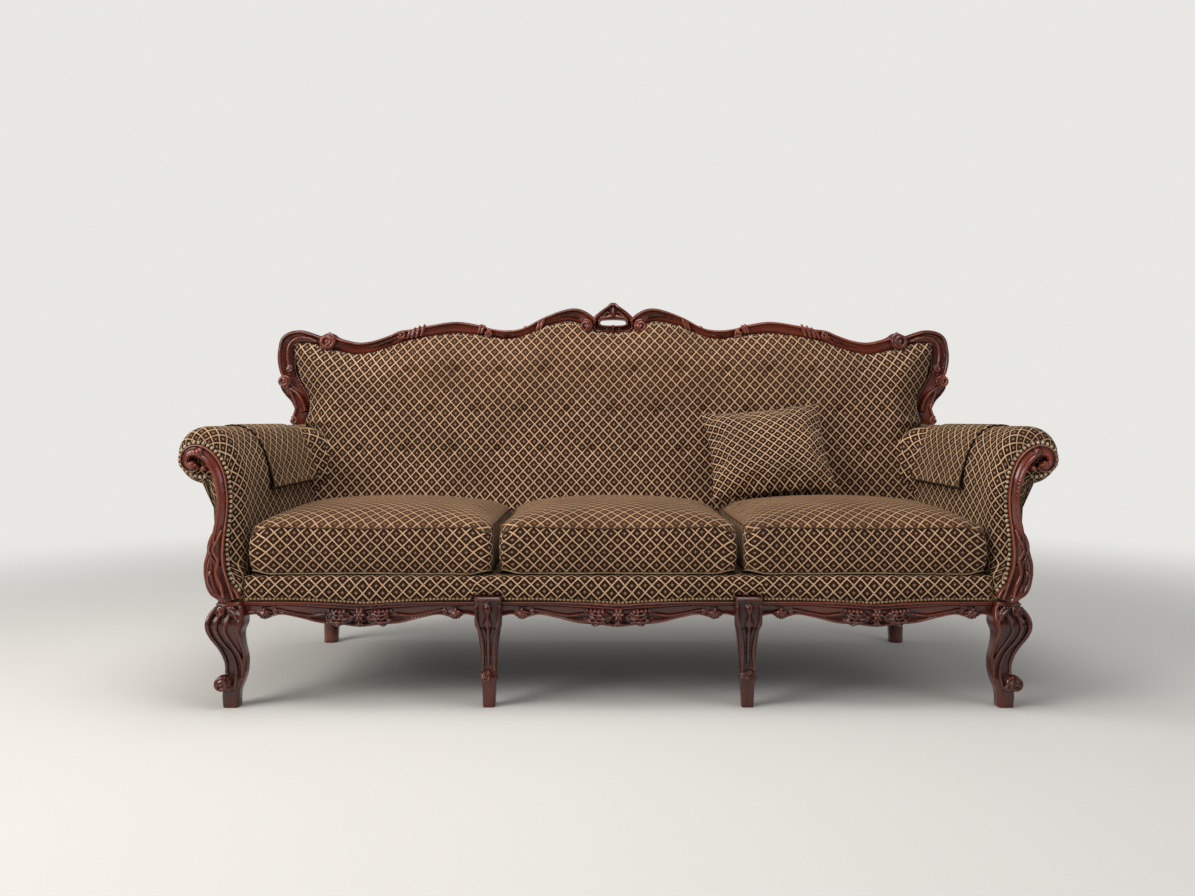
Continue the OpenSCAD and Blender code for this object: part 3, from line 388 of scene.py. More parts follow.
@dataclass(frozen=True)
class PlainWeave(Finish):
    """A plain weave, such as jute or cambric: crossing threads with open gaps between them."""

    light: str = "#b39a6b"
    dark: str = "#6f5a38"
    thread_mm: float = 2.4
    roughness: float = 0.9
    slub_mm: float = 12.0

    def paint(self, nodes: Nodes) -> dict:
        """Crossing threads, one over and one under."""
        cloth = nodes.cloth()
        waves = [nodes.sums("SINE", nodes.times(way, FULL / (self.thread_mm * MM)))
                 for way in nodes.split(cloth)[:2]]
        weave = nodes.ease(nodes.times(*waves), -0.7, 0.7)
        slub = nodes.noise(cloth, self.slub_mm, 3.0).outputs[0]
        colour = nodes.mix(weave, self.dark, self.light)
        colour = nodes.mix(nodes.ease(slub, 0.5, 0.75, 0.0, 0.5), colour, self.dark)
        return {"Base Color": colour, "Roughness": self.roughness, "Normal": nodes.bump(weave, 0.5, 0.7)}


@dataclass(frozen=True)
class ZincSteel(Finish):
    """Steel, turned and zinc plated: grey and half bright, with dull patches."""

    colour: str = "#a9aaa6"
    patch_mm: float = 4.0

    def paint(self, nodes: Nodes) -> dict:
        """Bright plating with dull patches."""
        patches = nodes.noise(nodes.place(), self.patch_mm, 4.0).outputs[0]
        dullness = nodes.ease(patches, 0.3, 0.7, 0.25, 0.5)
        return {"Base Color": self.colour, "Metallic": 1.0, "Roughness": dullness}


@dataclass(frozen=True)
class MattPaint(Finish):
    """The studio floor, rolled with matt paint: pale and even, and lost in the surround far away."""

    colour: str = "#cccbc8"
    far: str = "#e8e7e4"
    stipple_mm: float = 10.0
    # From here to there, in metres, the floor fades to the surround's colour
    fade_m: tuple[float, float] = (1.5, 4.2)

    def paint(self, nodes: Nodes) -> dict:
        """Even colour with the faint stipple of a roller."""
        stipple = nodes.noise(nodes.place(), self.stipple_mm).outputs[0]
        return {"Base Color": self.colour, "Roughness": 0.6, "Normal": nodes.bump(stipple, 0.1, 0.2)}

    def cover(self, nodes: Nodes, shader: bpy.types.Node, end: bpy.types.Node) -> None:
        """Far away the camera sees the surround's colour in place of the paint."""
        away = nodes.put("VectorMath", {0: nodes.place()}, operation="LENGTH").outputs["Value"]
        seen = nodes.put("LightPath").outputs["Is Camera Ray"]
        share = nodes.times(seen, nodes.ease(away, *self.fade_m))
        glow = nodes.put("Emission", {"Color": self.far, "Strength": 1.0}).outputs[0]
        both = nodes.put("MixShader", {0: share, 1: shader.outputs[0], 2: glow}).outputs[0]
        nodes.feed(end, {"Surface": both})


WOOD_ACROSS = CarvedMahogany("mahogany_carved_lacquered_across", Grain.ACROSS)
WOOD_UPRIGHT = CarvedMahogany("mahogany_carved_lacquered_upright", Grain.UPRIGHT)
# Legs and aprons get darker copies of the mahogany: painted shade, for the shade that falls under the seat
WOOD_LEG_SHADED = CarvedMahogany("mahogany_carved_lacquered_leg", Grain.UPRIGHT, body="#32100a", warm="#552115",
                          worn="#80493a")
WOOD_APRON_SHADED = CarvedMahogany("mahogany_carved_lacquered_apron", Grain.ACROSS, body="#3c140c", warm="#672a1b",
                            worn="#94594a")
BEECH = SawnBeech("beech_sawn_bare")
TRELLIS = TrellisCloth("chenille_trellis_woven")
COVER = TrellisCloth("chenille_trellis_rubbed", line="#b99a76", line_worn="#a98863", ground="#170b06",
                     ground_worn="#4a3020", field="#442516")
BRAID = LoopedBraid("cotton_gimp_looped")
# Near black: the cover's frayed hem, drawn dark to paint the shadow along the cover's edge as well
HEM_CORD_AND_SHADOW = LoopedBraid("cotton_cord_hem_and_painted_shadow", "#3a2819", "#120b06", 1.2)
PIPING = LoopedBraid("cotton_piping_sewn", "#9a8261", "#3f2e1f", 2.2)
# Darker brown for the top welt: painted shade, as the cushions' top edge reads as a shadowed edge
PIPING_SHADED = LoopedBraid("cotton_piping_painted_shade_sewn", "#5a4330", "#2a1c11", 2.2)
JUTE = PlainWeave("jute_plain_woven")
CAMBRIC = PlainWeave("cambric_black_woven", "#2c2a29", "#121110", 1.8, 0.95)
ZINC = ZincSteel("steel_zinc_plated")
FLOOR_PAINT = MattPaint("floor_matt_painted")


# ---- Shapes. All of them are in millimetres until they become pieces


def run_of(line: Array) -> Array:
    """How far each point of a line lies along it."""
    return np.r_[0, np.cumsum(np.linalg.norm(np.diff(line, axis=0), axis=1))]


def spline(rows: Iterable[Iterable[float]], step: float, width: int = 2) -> Array:
    """Smooth line through given rows, in even steps.

    Args:
        rows: control rows; the first columns are a place.
        step: the distance between points of the result.
        width: how many of the columns are a place.

    Returns:
        One row for each point.
    """
    p = np.asarray(list(rows), float)
    p = np.vstack([2 * p[0] - p[1], p, 2 * p[-1] - p[-2]])
    t = np.linspace(0, 1, 25)[:-1, None]
    spans = [0.5 * (2 * b + (c - a) * t + (2 * a - 5 * b + 4 * c - d) * t**2
                    + (3 * b - a - 3 * c + d) * t**3)
             for a, b, c, d in zip(p, p[1:], p[2:], p[3:])]
    line = np.vstack([*spans, p[-2:-1]])
    run = run_of(line[:, :width])
    at = np.linspace(0, run[-1], max(3, round(run[-1] / step) + 1))
    return np.column_stack([np.interp(at, run, column) for column in line.T])


def headings(line: Array) -> Array:
    """Unit direction at each point of a line."""
    d = np.gradient(line, axis=0)
    return d / np.maximum(np.linalg.norm(d, axis=1, keepdims=True), 1e-9)


def blend(value: Array | float, low: float, high: float) -> Array:
    """Smooth step from 0 at low to 1 at high."""
    t = np.clip((np.asarray(value, float) - low) / (high - low), 0, 1)
    return t * t * (3 - 2 * t)


def grid(across: tuple[float, float, int], up: tuple[float, float, int]) -> tuple[Array, Array]:
    """Grids of two values, each from a low to a high one in so many points."""
    return np.meshgrid(np.linspace(*across), np.linspace(*up))


def quads(index: Array) -> Array:
    """Faces between the points of a grid of point numbers."""
    return np.stack([index[:-1, :-1], index[1:, :-1], index[1:, 1:], index[:-1, 1:]], -1).reshape(-1, 4)


def circle(count: int) -> Array:
    """So many even angles round a circle."""
    return np.linspace(0, FULL, count + 1)[:-1]


def cord(path: Array, side: Array, up: Array, thick: Array | float) -> Array:
    """Rings of a round cord.

    Args:
        path: its middle.
        side: unit direction across the path, at each point.
        up: unit direction square to both.
        thick: its radius.

    Returns:
        One ring for each point.
    """
    a = circle(8)[None, :, None]
    return path[:, None] + thick * (np.cos(a) * side[:, None] + np.sin(a) * up[:, None])


def room(node: str) -> tuple[Vector, Vector]:
    """The lower and the upper corner of a solid's box, in millimetres."""
    low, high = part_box(node)
    return low / MM, high / MM


@dataclass
class Shape:
    """Closed forms gathered into one mesh, with the cloth's own map where it has one."""

    points: list[Array] = field(default_factory=list)
    faces: list[Array] = field(default_factory=list)
    maps: list[Array] = field(default_factory=list)
    count: int = 0

    def add(self, points: Array, faces: Array, cloth: Array | None = None) -> "Shape":
        """Adds a form.

        Args:
            points: its points.
            faces: its faces as quads; a triangle repeats its last corner. They are turned to face out.
            cloth: each point's place on the cloth, and its wear and painted sheen.

        Returns:
            The shape itself.
        """
        a, b, c, d = (points[faces[:, k]] for k in range(4))
        if np.sum(a * (np.cross(b, c) + np.cross(c, d))) < 0:
            faces = faces[:, [1, 0, 3, 2]]
        self.points.append(points)
        self.faces.append(faces + self.count)
        self.maps.append(np.zeros_like(points) if cloth is None else cloth)
        self.count += len(points)
        return self

    def tube(self, rings: Array, cloth: Array | None = None) -> "Shape":
        """Adds a closed skin over rings of points, with its two ends filled.

        Args:
            rings: rows of rings, each with as many points.
            cloth: the map's rows for the same points.

        Returns:
            The shape itself.
        """
        r, c = rings.shape[:2]
        i, j = np.meshgrid(np.arange(r - 1), np.arange(c), indexing="ij")
        a, b = i * c + j, i * c + (j + 1) % c
        sides = np.stack([a, b, b + c, a + c], -1).reshape(-1, 4)
        k = np.arange(c)
        n, m = (k + 1) % c, (r - 1) * c
        first = np.stack([n, k, np.full(c, r * c), np.full(c, r * c)], -1)
        last = np.stack([m + k, m + n, np.full(c, r * c + 1), np.full(c, r * c + 1)], -1)
        points = np.vstack([rings.reshape(-1, 3), rings[0].mean(0), rings[-1].mean(0)])
        if cloth is not None:
            cloth = np.vstack([cloth.reshape(-1, 3), cloth[0].mean(0), cloth[-1].mean(0)])
        return self.add(points, np.vstack([sides, first, last]), cloth)

    def shell(self, front: Array, back: Array, cloth: Array) -> "Shape":
        """Adds a closed skin between two grids of points, joined round their edges.

        Args:
            front: the grid that shows.
            back: the grid behind it.
            cloth: the map of both.

        Returns:
            The shape itself.
        """
        r, c = front.shape[:2]
        i, j = np.meshgrid(np.arange(r - 1), np.arange(c - 1), indexing="ij")
        a = (i * c + j).ravel()
        face = np.stack([a, a + 1, a + c + 1, a + c], -1)
        n = r * c
        rim = np.r_[np.arange(c), np.arange(1, r) * c + c - 1, (r - 1) * c + np.arange(c - 2, -1, -1),
                    np.arange(r - 2, 0, -1) * c]
        nxt = np.roll(rim, -1)
        edge = np.stack([nxt, rim, rim + n, nxt + n], -1)
        points = np.vstack([front.reshape(-1, 3), back.reshape(-1, 3)])
        faces = np.vstack([face, face[:, ::-1] + n, edge])
        return self.add(points, faces, np.tile(cloth.reshape(-1, 3), (2, 1)))

    def mesh(self, name: str) -> bpy.types.Mesh:
        """The forms as one mesh, in metres, with the cloth's map as an attribute."""
        points = np.vstack(self.points) * MM
        quads = np.vstack(self.faces)
        faces = [tuple(q) if q[2] != q[3] else tuple(q[:3]) for q in quads.tolist()]
        mesh = bpy.data.meshes.new(name)
        mesh.from_pydata(points.tolist(), [], faces)
        cloth = mesh.attributes.new(CLOTH_MAP, "FLOAT_VECTOR", "POINT")
        scaled = np.vstack(self.maps) * (MM, MM, 1)
        cloth.data.foreach_set("vector", scaled.astype(np.float32).ravel())
        mesh.update()
        return mesh


def applied(mesh: bpy.types.Mesh, *steps: tuple[str, dict]) -> bpy.types.Mesh:
    """Puts a mesh through modifiers.

    Args:
        mesh: the mesh to change.
        steps: each modifier's type and settings.

    Returns:
        The changed mesh, which takes the first one's name.
    """
    holder = bpy.data.objects.new("holder", mesh)
    bpy.context.scene.collection.objects.link(holder)
    for kind, settings in steps:
        modifier = holder.modifiers.new(kind.lower(), kind)
        for name, value in settings.items():
            setattr(modifier, name, value)
    graph = bpy.context.evaluated_depsgraph_get()
    made = bpy.data.meshes.new_from_object(holder.evaluated_get(graph))
    name = mesh.name
    bpy.data.objects.remove(holder)
    bpy.data.meshes.remove(mesh)
    made.name = name
    return made


def mirrored(mesh: bpy.types.Mesh) -> bpy.types.Mesh:
    """A left-hand mesh's mirror image across the sofa's middle."""
    twin = mesh.copy()
    twin.name = mesh.name.replace("left", "right")
    twin.transform(Matrix.Scale(-1, 4, (1, 0, 0)))
    twin.flip_normals()
    return twin


def piece(mesh: bpy.types.Mesh, finish: Finish, body: str, slot: str, *nodes: str) -> bpy.types.Object:
    """Makes a mesh a piece of the sofa.

    Args:
        mesh: its final mesh, whose name is the piece's.
        finish: what it is made of.
        body: the body it moves with.
        slot: the record's material slot; not used.
        nodes: the solids it stands for.

    Returns:
        The piece.
    """
    made = bpy.data.objects.new(mesh.name, mesh)
    bpy.context.scene.collection.objects.link(made)
    mesh.materials.clear()
    mesh.materials.append(finish.material())
    mesh.shade_smooth()
    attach(made, body)
    if nodes:
        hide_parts(*nodes)
    log.info("%s: %d faces on %s", made.name, len(mesh.polygons), body)
    return made


# ---- Sizes that the whole sofa shares, in millimetres

HALF_WIDTH = 1025.0
TOP = 1025.0
ARM_TOP = 650.0
RAIL_LOW = 246.0
FRONT = -388.4
POST_BACK = -391.7
RAKE = math.tan(math.radians(4.7))
BACK_FOOT = 366.0
PAD_BACK = 41.9
MIDDLE_LEG_X = 299.0


def lean(z: Array | float) -> Array | float:
    """Depth of the back frame's rear face at a height."""
    return BACK_FOOT + (z - RAIL_LOW) * RAKE


def on_back(rows: Iterable[Iterable[float]]) -> Array:
    """Places on the back, given as shares of the half width and of the height above the arms."""
    p = np.array(list(rows), float)
    p[:, 0] *= HALF_WIDTH
    p[:, 1] = ARM_TOP + p[:, 1] * (TOP - ARM_TOP)
    return p


# ---- Upholstery


BACK_SIDE = on_back([(s, z) for z, s in (
    (-0.95, 0.844), (-0.02, 0.844), (0.02, 0.88), (0.112, 0.894), (0.222, 0.895), (0.318, 0.913),
    (0.381, 0.926), (0.44, 0.932), (0.5, 0.937), (0.6, 0.945), (0.68, 0.942))])
BACK_TOP = on_back((
    (0, 0.735), (0.0605, 0.752), (0.085, 0.786), (0.112, 0.826), (0.146, 0.826), (0.202, 0.795),
    (0.25, 0.73), (0.283, 0.696), (0.325, 0.686), (0.37, 0.708), (0.4, 0.722), (0.468, 0.736),
    (0.546, 0.71), (0.594, 0.686), (0.63, 0.662), (0.663, 0.622), (0.713, 0.577), (0.761, 0.561),
    (0.815, 0.586), (0.847, 0.614), (0.871, 0.636), (0.9, 0.655), (0.945, 0.655)))


def back_half_width(z: Array) -> Array:
    """Half of the inside back's width at a height."""
    return np.interp(z, BACK_SIDE[:, 1], BACK_SIDE[:, 0])


def back_top(share: Array) -> Array:
    """Height of the inside back's top edge at a share of its half width."""
    return np.interp(np.abs(share) * BACK_TOP[-1, 0], BACK_TOP[:, 0], BACK_TOP[:, 1])


@dataclass
class BackUpholstery:
    """The tufted inside back, the stretched outside back and the braid along the carved edge."""

    low: float = 304.9
    edge: float = 2.0
    crown: float = 46.0
    base: float = 118.0
    peak: float = 959.8
    tuft_pitch: float = 134.0
    tuft_rows: tuple[float, ...] = (575.7, 690.8, 810.4)
    tuft_depth: float = 8.0
    # How far short of the moulding's edge the cloth ends: below zero, it runs on behind it
    hidden: float = -3.0
    # The trellis is woven a little taller than wide
    weave_height: float = 1.077
    # Height and half width of the outside back's edge
    rear_edge: Rows = (
        (247, 929), (512, 929), (541, 944), (600, 963), (645, 969), (660, 950), (700, 932), (733, 938),
        (770, 954), (793, 968), (815, 976), (850, 980), (880, 980), (910, 975))

    def surface(self, columns: int, rows: int) -> tuple[Array, Array, Array, Array]:
        """Grid of the inside back.

        Args:
            columns: points across.
            rows: points up.

        Returns:
            X, height, share across and share up of each point.
        """
        s, v = grid((-1, 1, columns), (0, 1, rows))
        z = self.low + (back_top(s) - self.hidden - self.low) * v
        # Beside the arms the stuffing runs on under their cloth, and over them to the foot of each stile
        flare = np.interp(z, (512, 548, 574, 600, 620, 640, 660, 680, 700),
                          (14, 18, 25, 36, 48, 50, 26, 5, 0))
        return s * (back_half_width(z) + flare + 3), z, s, v

    def face(self, z: Array) -> Array:
        """Depth of the inside back's front at a height, between its tufts."""
        taper = (self.peak - z) / (self.peak - self.low)
        return lean(z) - PAD_BACK - self.edge - self.crown - self.base * taper

    def tufts(self, x: Array, z: Array) -> Array:
        """How far the shallow tufts draw the cloth in, with a soft fold running down from each."""
        drawn = np.zeros_like(x)
        for k, row in enumerate(self.tuft_rows):
            shift = 0.0 if k == 1 else 0.5
            near = (x / self.tuft_pitch - shift - np.round(x / self.tuft_pitch - shift)) * self.tuft_pitch
            rise = z - row
            inside = blend(HALF_WIDTH * 0.83 - np.abs(x), 0, 90)
            drawn += inside * (self.tuft_depth * np.exp(-(near**2 + rise**2) / 240)
                               + 2.4 * np.exp(-(near**2 / 900 + rise**2 / 14)))
        for way in (-1, 1):
            rise = (z - self.tuft_rows[1]) / (self.tuft_rows[1] - self.tuft_rows[0])
            phase = x / self.tuft_pitch + way * rise / 2
            crease = np.abs(phase - np.round(phase)) * self.tuft_pitch
            inside = blend(HALF_WIDTH * 0.8 - np.abs(x), 0, 120) * blend(z, 520, 600) * blend(-z, -860, -790)
            drawn += inside * np.exp(-(crease / 12) ** 2)
        return drawn

    def inside_back(self) -> None:
        """The stuffed and tufted inside back."""
        x, z, s, v = self.surface(341, 141)
        side = np.maximum((1 - np.abs(s)) * 8, 1 - blend(z, 575, 650))
        rim = np.clip(np.minimum(side, (1 - v) * 6), 0, 1)
        swell = rim * (2 - rim)
        taper = (self.peak - z) / (self.peak - self.low)
        thick = self.edge + (self.base * taper + self.crown) * swell - self.tufts(x, z)
        # Long shallow pulls, from years of backs against it
        thick += 1.6 * np.sin(x / 71 + 1.3 * np.sin(z / 83)) * np.sin(z / 97 + 0.8) * swell
        rear = lean(z) - PAD_BACK
        front = np.dstack([x, rear - np.maximum(thick, 1.5), z])
        # Wear and painted sheen: lighter towards the top middle
        wear = 0.16 + 0.3 * blend(z, 640, 800) * blend(-np.abs(x), -820, -500)
        cloth = np.dstack([x, z / self.weave_height, wear])
        shape = Shape().shell(front, np.dstack([x, rear, z]), cloth)
        pad = piece(shape.mesh("inside_back_tufted"), TRELLIS, "frame", "trellis_fabric", "back_pad")

    def outside_back(self) -> None:
        """The plain cloth stretched over the rear of the frame, tacked under its edge."""
        low = self.rear_edge[0][0]
        s, v = grid((-1, 1, 141), (0, 1, 91))
        z = low + (back_top(s) + 4 - low) * v
        # Over the arms it ends behind the stiles, and below them it covers the arms' rear posts
        x = s * np.interp(z, *np.array(self.rear_edge).T)
        hollow = (1 - s**4) * (1 - (2 * v - 1) ** 4)
        # Under the posts it is drawn in to the rear rail
        rear = lean(z) - 0.4 - 9 * (1 - blend(z, 250, 287)) * blend(1 - np.abs(s), 0.01, 0.06)
        cloth = np.dstack([x, z / self.weave_height, np.full_like(x, 0.1)])
        shape = Shape().shell(*(np.dstack([x, rear - thick - hollow, z]) for thick in (0.0, 2.0)), cloth)
        sheet = piece(shape.mesh("outside_back_cloth"), TRELLIS, "frame", "trellis_fabric",
                      "outside_back_panel")

    def edge_braid(self) -> None:
        """The fine looped braid along the carved edge."""
        s = np.linspace(-1, 1, 801)
        z = back_top(s) - 5
        x = s * (back_half_width(z) - 5)
        side = spline([(x[0], z[0]), (-(back_half_width(np.array([800.0]))[0] - 3), 800), (-921, 760),
                       (-915, 715), (-922, 668)], 4)
        shape, braid = Shape(), Braid(pitch=7.6, loop=(2.9, 2.5, 2.2), band=4.4)
        for line in (np.column_stack([x, z]), side, side * (-1, 1)):
            path = spline(line[:: max(1, len(line) // 200)], 1.5)
            depth = lean(path[:, 1]) - PAD_BACK - self.edge - 4.5
            braid.along(shape, np.column_stack([path[:, 0], depth, path[:, 1]]))
        piece(shape.mesh("braid_back_looped"), BRAID, "frame", "gimp_braid", "gimp_back")

    def build(self) -> None:
        """Builds every piece of the back's upholstery."""
        self.inside_back()
        self.outside_back()
        self.edge_braid()


@dataclass
class Braid:
    """A looped braid: round loops set side by side on a narrow band."""

    pitch: float
    # Half sizes of a loop: along the braid, across it and proud of it
    loop: tuple[float, float, float]
    band: float
    around: int = 10

    def along(self, shape: Shape, path: Array) -> None:
        """Adds the braid to a shape, with its loops to the front.

        Args:
            shape: takes the forms.
            path: points the braid's back lies on.
        """
        run, h = run_of(path), headings(path)
        out = np.array((0, -1, 0), float)
        across = np.cross(h, out)
        ring = np.array([(-1, 0), (-0.8, 0.5), (0, 0.75), (0.8, 0.5), (1, 0)])
        band = (path[:, None] + ring[None, :, :1] * across[:, None] * self.band / 2
                + ring[None, :, 1:] * out * 1.4)
        band = band[::3] if len(band) > 30 else band
        shape.tube(band, np.broadcast_to((0.0, 0.0, 1.0), band.shape))
        a = circle(self.around)
        b = np.linspace(-math.pi / 2, math.pi / 2, 7)[1:-1]
        ball = np.stack([np.cos(b)[:, None] * np.cos(a), np.cos(b)[:, None] * np.sin(a),
                         np.sin(b)[:, None] * np.ones_like(a)], -1)
        for k, place in enumerate(np.arange(self.pitch / 2, run[-1], self.pitch)):
            at, way = (np.array([np.interp(place, run, c) for c in table.T]) for table in (path, h))
            wide = np.cross(way, out)
            lift = 1 + 0.12 * math.sin(k * 2.4)
            loop = (at + ball[..., :1] * way * self.loop[0] + ball[..., 1:2] * wide * self.loop[1]
                    + (ball[..., 2:] * self.loop[2] * lift + 1.2) * out)
            shape.tube(loop)


@dataclass
class ArmUpholstery:
    """The stuffed arm and its roll, under one cloth from the carved post round the front to the back."""

    front: float = -391.0
    dome: float = 7.0
    # Rounding of the cloth over the front, on the roll and on the inner face: how wide, and how far back
    edge: tuple[float, float] = (34.0, 62.0)
    edge_back: tuple[float, float] = (34.0, 56.0)
    fullness: float = 3.0
    fillet: float = 50.0
    # The pattern is gathered round the front, and drawn out along the arm as the cloth is pulled back
    gathered: float = 0.74
    drawn: float = 1.6
    cloth_low: float = 250.0
    rail_top: float = 286.3
    # Front and back edge of the loose cover
    cover_ends: tuple[float, float] = (-198.0, 182.0)
    # The outer side's cloth: its foot, height and front edge, and X of its outer and inner face
    outer_foot: float = 247.0
    outer_height: float = 266.0
    outer_front: float = -385.0
    outer_faces: tuple[float, float] = (-930.2, -928.8)
    back: BackUpholstery = field(default_factory=BackUpholstery)
    # Outline of the arm, and under it the line behind the carved post that its cloth is drawn to:
    # inner face, over the roll, round its underside and down the outer face
    rows: Rows = (
        (-868, 250, -921, 250), (-868, 340, -924, 340), (-868, 395, -919, 400), (-868, 455, -911, 452),
        (-868, 512, -909, 490), (-873, 548, -913, 520), (-880, 574, -921, 540), (-896.5, 613.6, -946, 560),
        (-913, 635, -957, 568), (-931, 645, -960, 574), (-957, 650, -966, 580), (-985, 644, -970, 582),
        (-1007, 628, -976, 580), (-1022, 602, -982, 574), (-1024, 571, -984, 566), (-1012, 542, -981, 558),
        (-989, 522, -974, 554), (-960, 514, -964, 554), (-936, 517, -950, 551), (-928.5, 512, -930, 532),
        (-928, 490, -918, 500), (-928, 440, -916, 450), (-928, 390, -923, 400), (-928, 340, -927, 350),
        (-928, 250, -926, 250))

    def fill(self, outer: Array, y: Array) -> Array:
        """How far the stuffing swells out where the arm runs into the back.

        Args:
            outer: the arm's outline.
            y: the depth of each of its points.

        Returns:
            The swell of each point.
        """
        x, z = outer.T
        inner = np.arange(len(x)) < np.argmin(x)
        radius = self.fillet * blend(z, 425, 520) * (1 - blend(-x, 880, 925)) * inner
        q = np.clip((y - self.back.face(z)) / np.maximum(radius, 1) + 1, 0, 1)
        return radius * (1 - np.sqrt(1 - q * q))

    def stations(self, line: Array) -> tuple[Array, Array]:
        """The arm's skin, as loops from behind the post to the back frame.

        Args:
            line: the outline and the line behind the post, point by point.

        Returns:
            The loops and their places on the cloth.
        """
        outer, core = line[:, :2], line[:, 2:4]
        reach = np.maximum(np.linalg.norm(outer - core, axis=1), 0.5)
        way = (outer - core) / reach[:, None]
        h = headings(outer)
        out = np.column_stack([h[:, 1], -h[:, 0]])
        run = run_of(outer)
        low = (1 - blend(outer[:, 1], 530, 600)) * (np.arange(len(outer)) < np.argmin(outer[:, 0]))
        bend = np.minimum(self.edge[0] + (self.edge[1] - self.edge[0]) * low, reach * 0.92)
        deep_bend = self.edge_back[0] + (self.edge_back[1] - self.edge_back[0]) * low
        # In front of the seat rail the cloth lies flat
        over_rail = blend(outer[:, 1], 288, 338)
        bend, deep_bend = 5 + (bend - 5) * over_rail, 8 + (deep_bend - 8) * over_rail
        loops = []

        def ring(along: Array, y: Array, push: Array | float = 0.0) -> None:
            """Adds the loop that lies so far out from the core at a depth, pushed out over the stuffing."""
            at = core + way * along[:, None] + out * np.asarray(push)[..., None]
            foot = np.interp(y, (self.front + 0.5, self.front + 1.8), (self.cloth_low, self.rail_top))
            loops.append(np.column_stack([at[:, 0], y, np.maximum(at[:, 1], foot)]))

        for t in np.linspace(0, 1, 13):
            swell = self.dome * np.minimum(1, reach / 40) * math.sin(math.pi * min(1.0, t * 0.62 + 0.05))
            ring((reach - bend) * t, self.front - swell)
        lip = self.dome * np.minimum(1, reach / 40) * math.sin(math.pi * 0.67)
        for t in np.linspace(0, math.pi / 2, 10)[1:]:
            across, sunk = math.sin(t) ** (2 / self.fullness), 1 - math.cos(t) ** (2 / self.fullness)
            ring(reach - bend + bend * across, self.front - lip + (deep_bend + lip) * sunk)
        deep = lean(outer[:, 1]) - 2.9
        for t in np.linspace(0, 1, 56)[1:]:
            y = self.front + deep_bend + (deep - self.front - deep_bend) * t
            sag = 1.5 * np.sin(run / 60 + 2.2 * t) * math.sin(9 * t) * math.sin(math.pi * t)
            ring(reach - np.maximum(0, sag), y, self.fill(outer, y))
        ring(reach * 0.02, deep)
        skin = np.array(loops)
        count = np.arange(len(skin) - 1)[:, None]
        pull = self.gathered + (self.drawn - self.gathered) * blend(count, 13, 30)
        swells = np.array([self.fill(outer, y) for y in skin[1:, :, 1]])
        steps = np.linalg.norm(np.diff(skin, axis=0), axis=2) / (1 + (pull - 1) * (1 - blend(swells, 0, 12)))
        v = np.vstack([np.zeros(len(outer)), np.cumsum(steps, axis=0)])
        # Wear and painted sheen: lighter over the top of the roll
        wear = 0.05 + 0.3 * blend(outer[:, 1], 600, 650)
        wear = wear * np.clip(np.arange(len(skin)) / 20, 0.4, 1)[:, None]
        return skin, np.dstack([np.tile(run, (len(skin), 1)), v - v[12], wear])

    def pad(self) -> bpy.types.Mesh:
        """The stuffed arm as one closed skin."""
        return Shape().tube(*self.stations(spline(self.rows, 5))).mesh("arm_upholstery_left")

    def cover(self) -> tuple[bpy.types.Mesh, bpy.types.Mesh]:
        """The loose cover over the roll, whose flap hangs inside the arm, and the cord on its hem, near black
        to paint the shadow along the cover's edge too.
        """
        line = spline(self.rows, 4)[:, :2]
        start = int(np.argmin(np.abs(line[:len(line) // 2, 1] - 493)))
        end = int(np.argmin(np.hypot(line[:, 0] + 1024, line[:, 1] - 588)))
        line = line[start:end + 1]
        h = headings(line)
        out = np.column_stack([h[:, 1], -h[:, 0]])
        run = run_of(line)
        front, rear = self.cover_ends
        i, yy = np.meshgrid(np.arange(len(line)), np.linspace(front, rear, 64))
        t, u = i / (len(line) - 1), (yy - front) / (rear - front)
        hang = blend(1 - t, 0.4, 1.0)
        lift = 1.6 + (0.8 + 1.6 * (1 + np.sin(yy / 23 + 3 * t))) * hang + self.fill(line, yy[:, :1] + 0 * i)
        lift += hang * blend(np.abs(2 * u - 1), 0.86, 1.0) * (4.0 + 1.4 * np.sin(t * 21))
        lift += 5.0 * blend(1 - t, 0.88, 1.0)
        skew = 5 * np.sin(t * 7) * blend(np.abs(2 * u - 1), 0.6, 1.0) - 6 * (1 - t)
        cloth = np.dstack([run[i] + 9, yy / self.drawn + 13, np.full(i.shape, 0.3)])

        def leaf_at(extra: float) -> Array:
            """The cover's surface at a height over its underside."""
            d = lift + extra
            return np.dstack([line[i, 0] + out[i, 0] * d, yy + skew, line[i, 1] + out[i, 1] * d])

        hem = leaf_at(1.1)
        shoulder = int(len(line) * 0.36)
        path = spline(np.vstack([hem[0, shoulder::-4], hem[::3, 0], hem[-1, :shoulder:4]]), 3.0, 3)
        side = np.cross(headings(path), (0.0, 0.0, 1.0))
        side /= np.maximum(np.linalg.norm(side, axis=1, keepdims=True), 0.05)
        # Frayed: the cord swells and thins
        ends = np.minimum(1, np.minimum(np.arange(len(path)), np.arange(len(path))[::-1]) / 25)
        thick = ((2.6 + 0.8 * np.sin(np.arange(len(path)) * 1.7)) * (0.25 + 0.75 * ends))[:, None, None]
        rings = cord(path, side, np.cross(side, headings(path)), thick)
        return (Shape().shell(leaf_at(2.2), leaf_at(0), cloth).mesh("arm_cover_draped_left"),
                Shape().tube(rings).mesh("arm_cover_hem_left"))

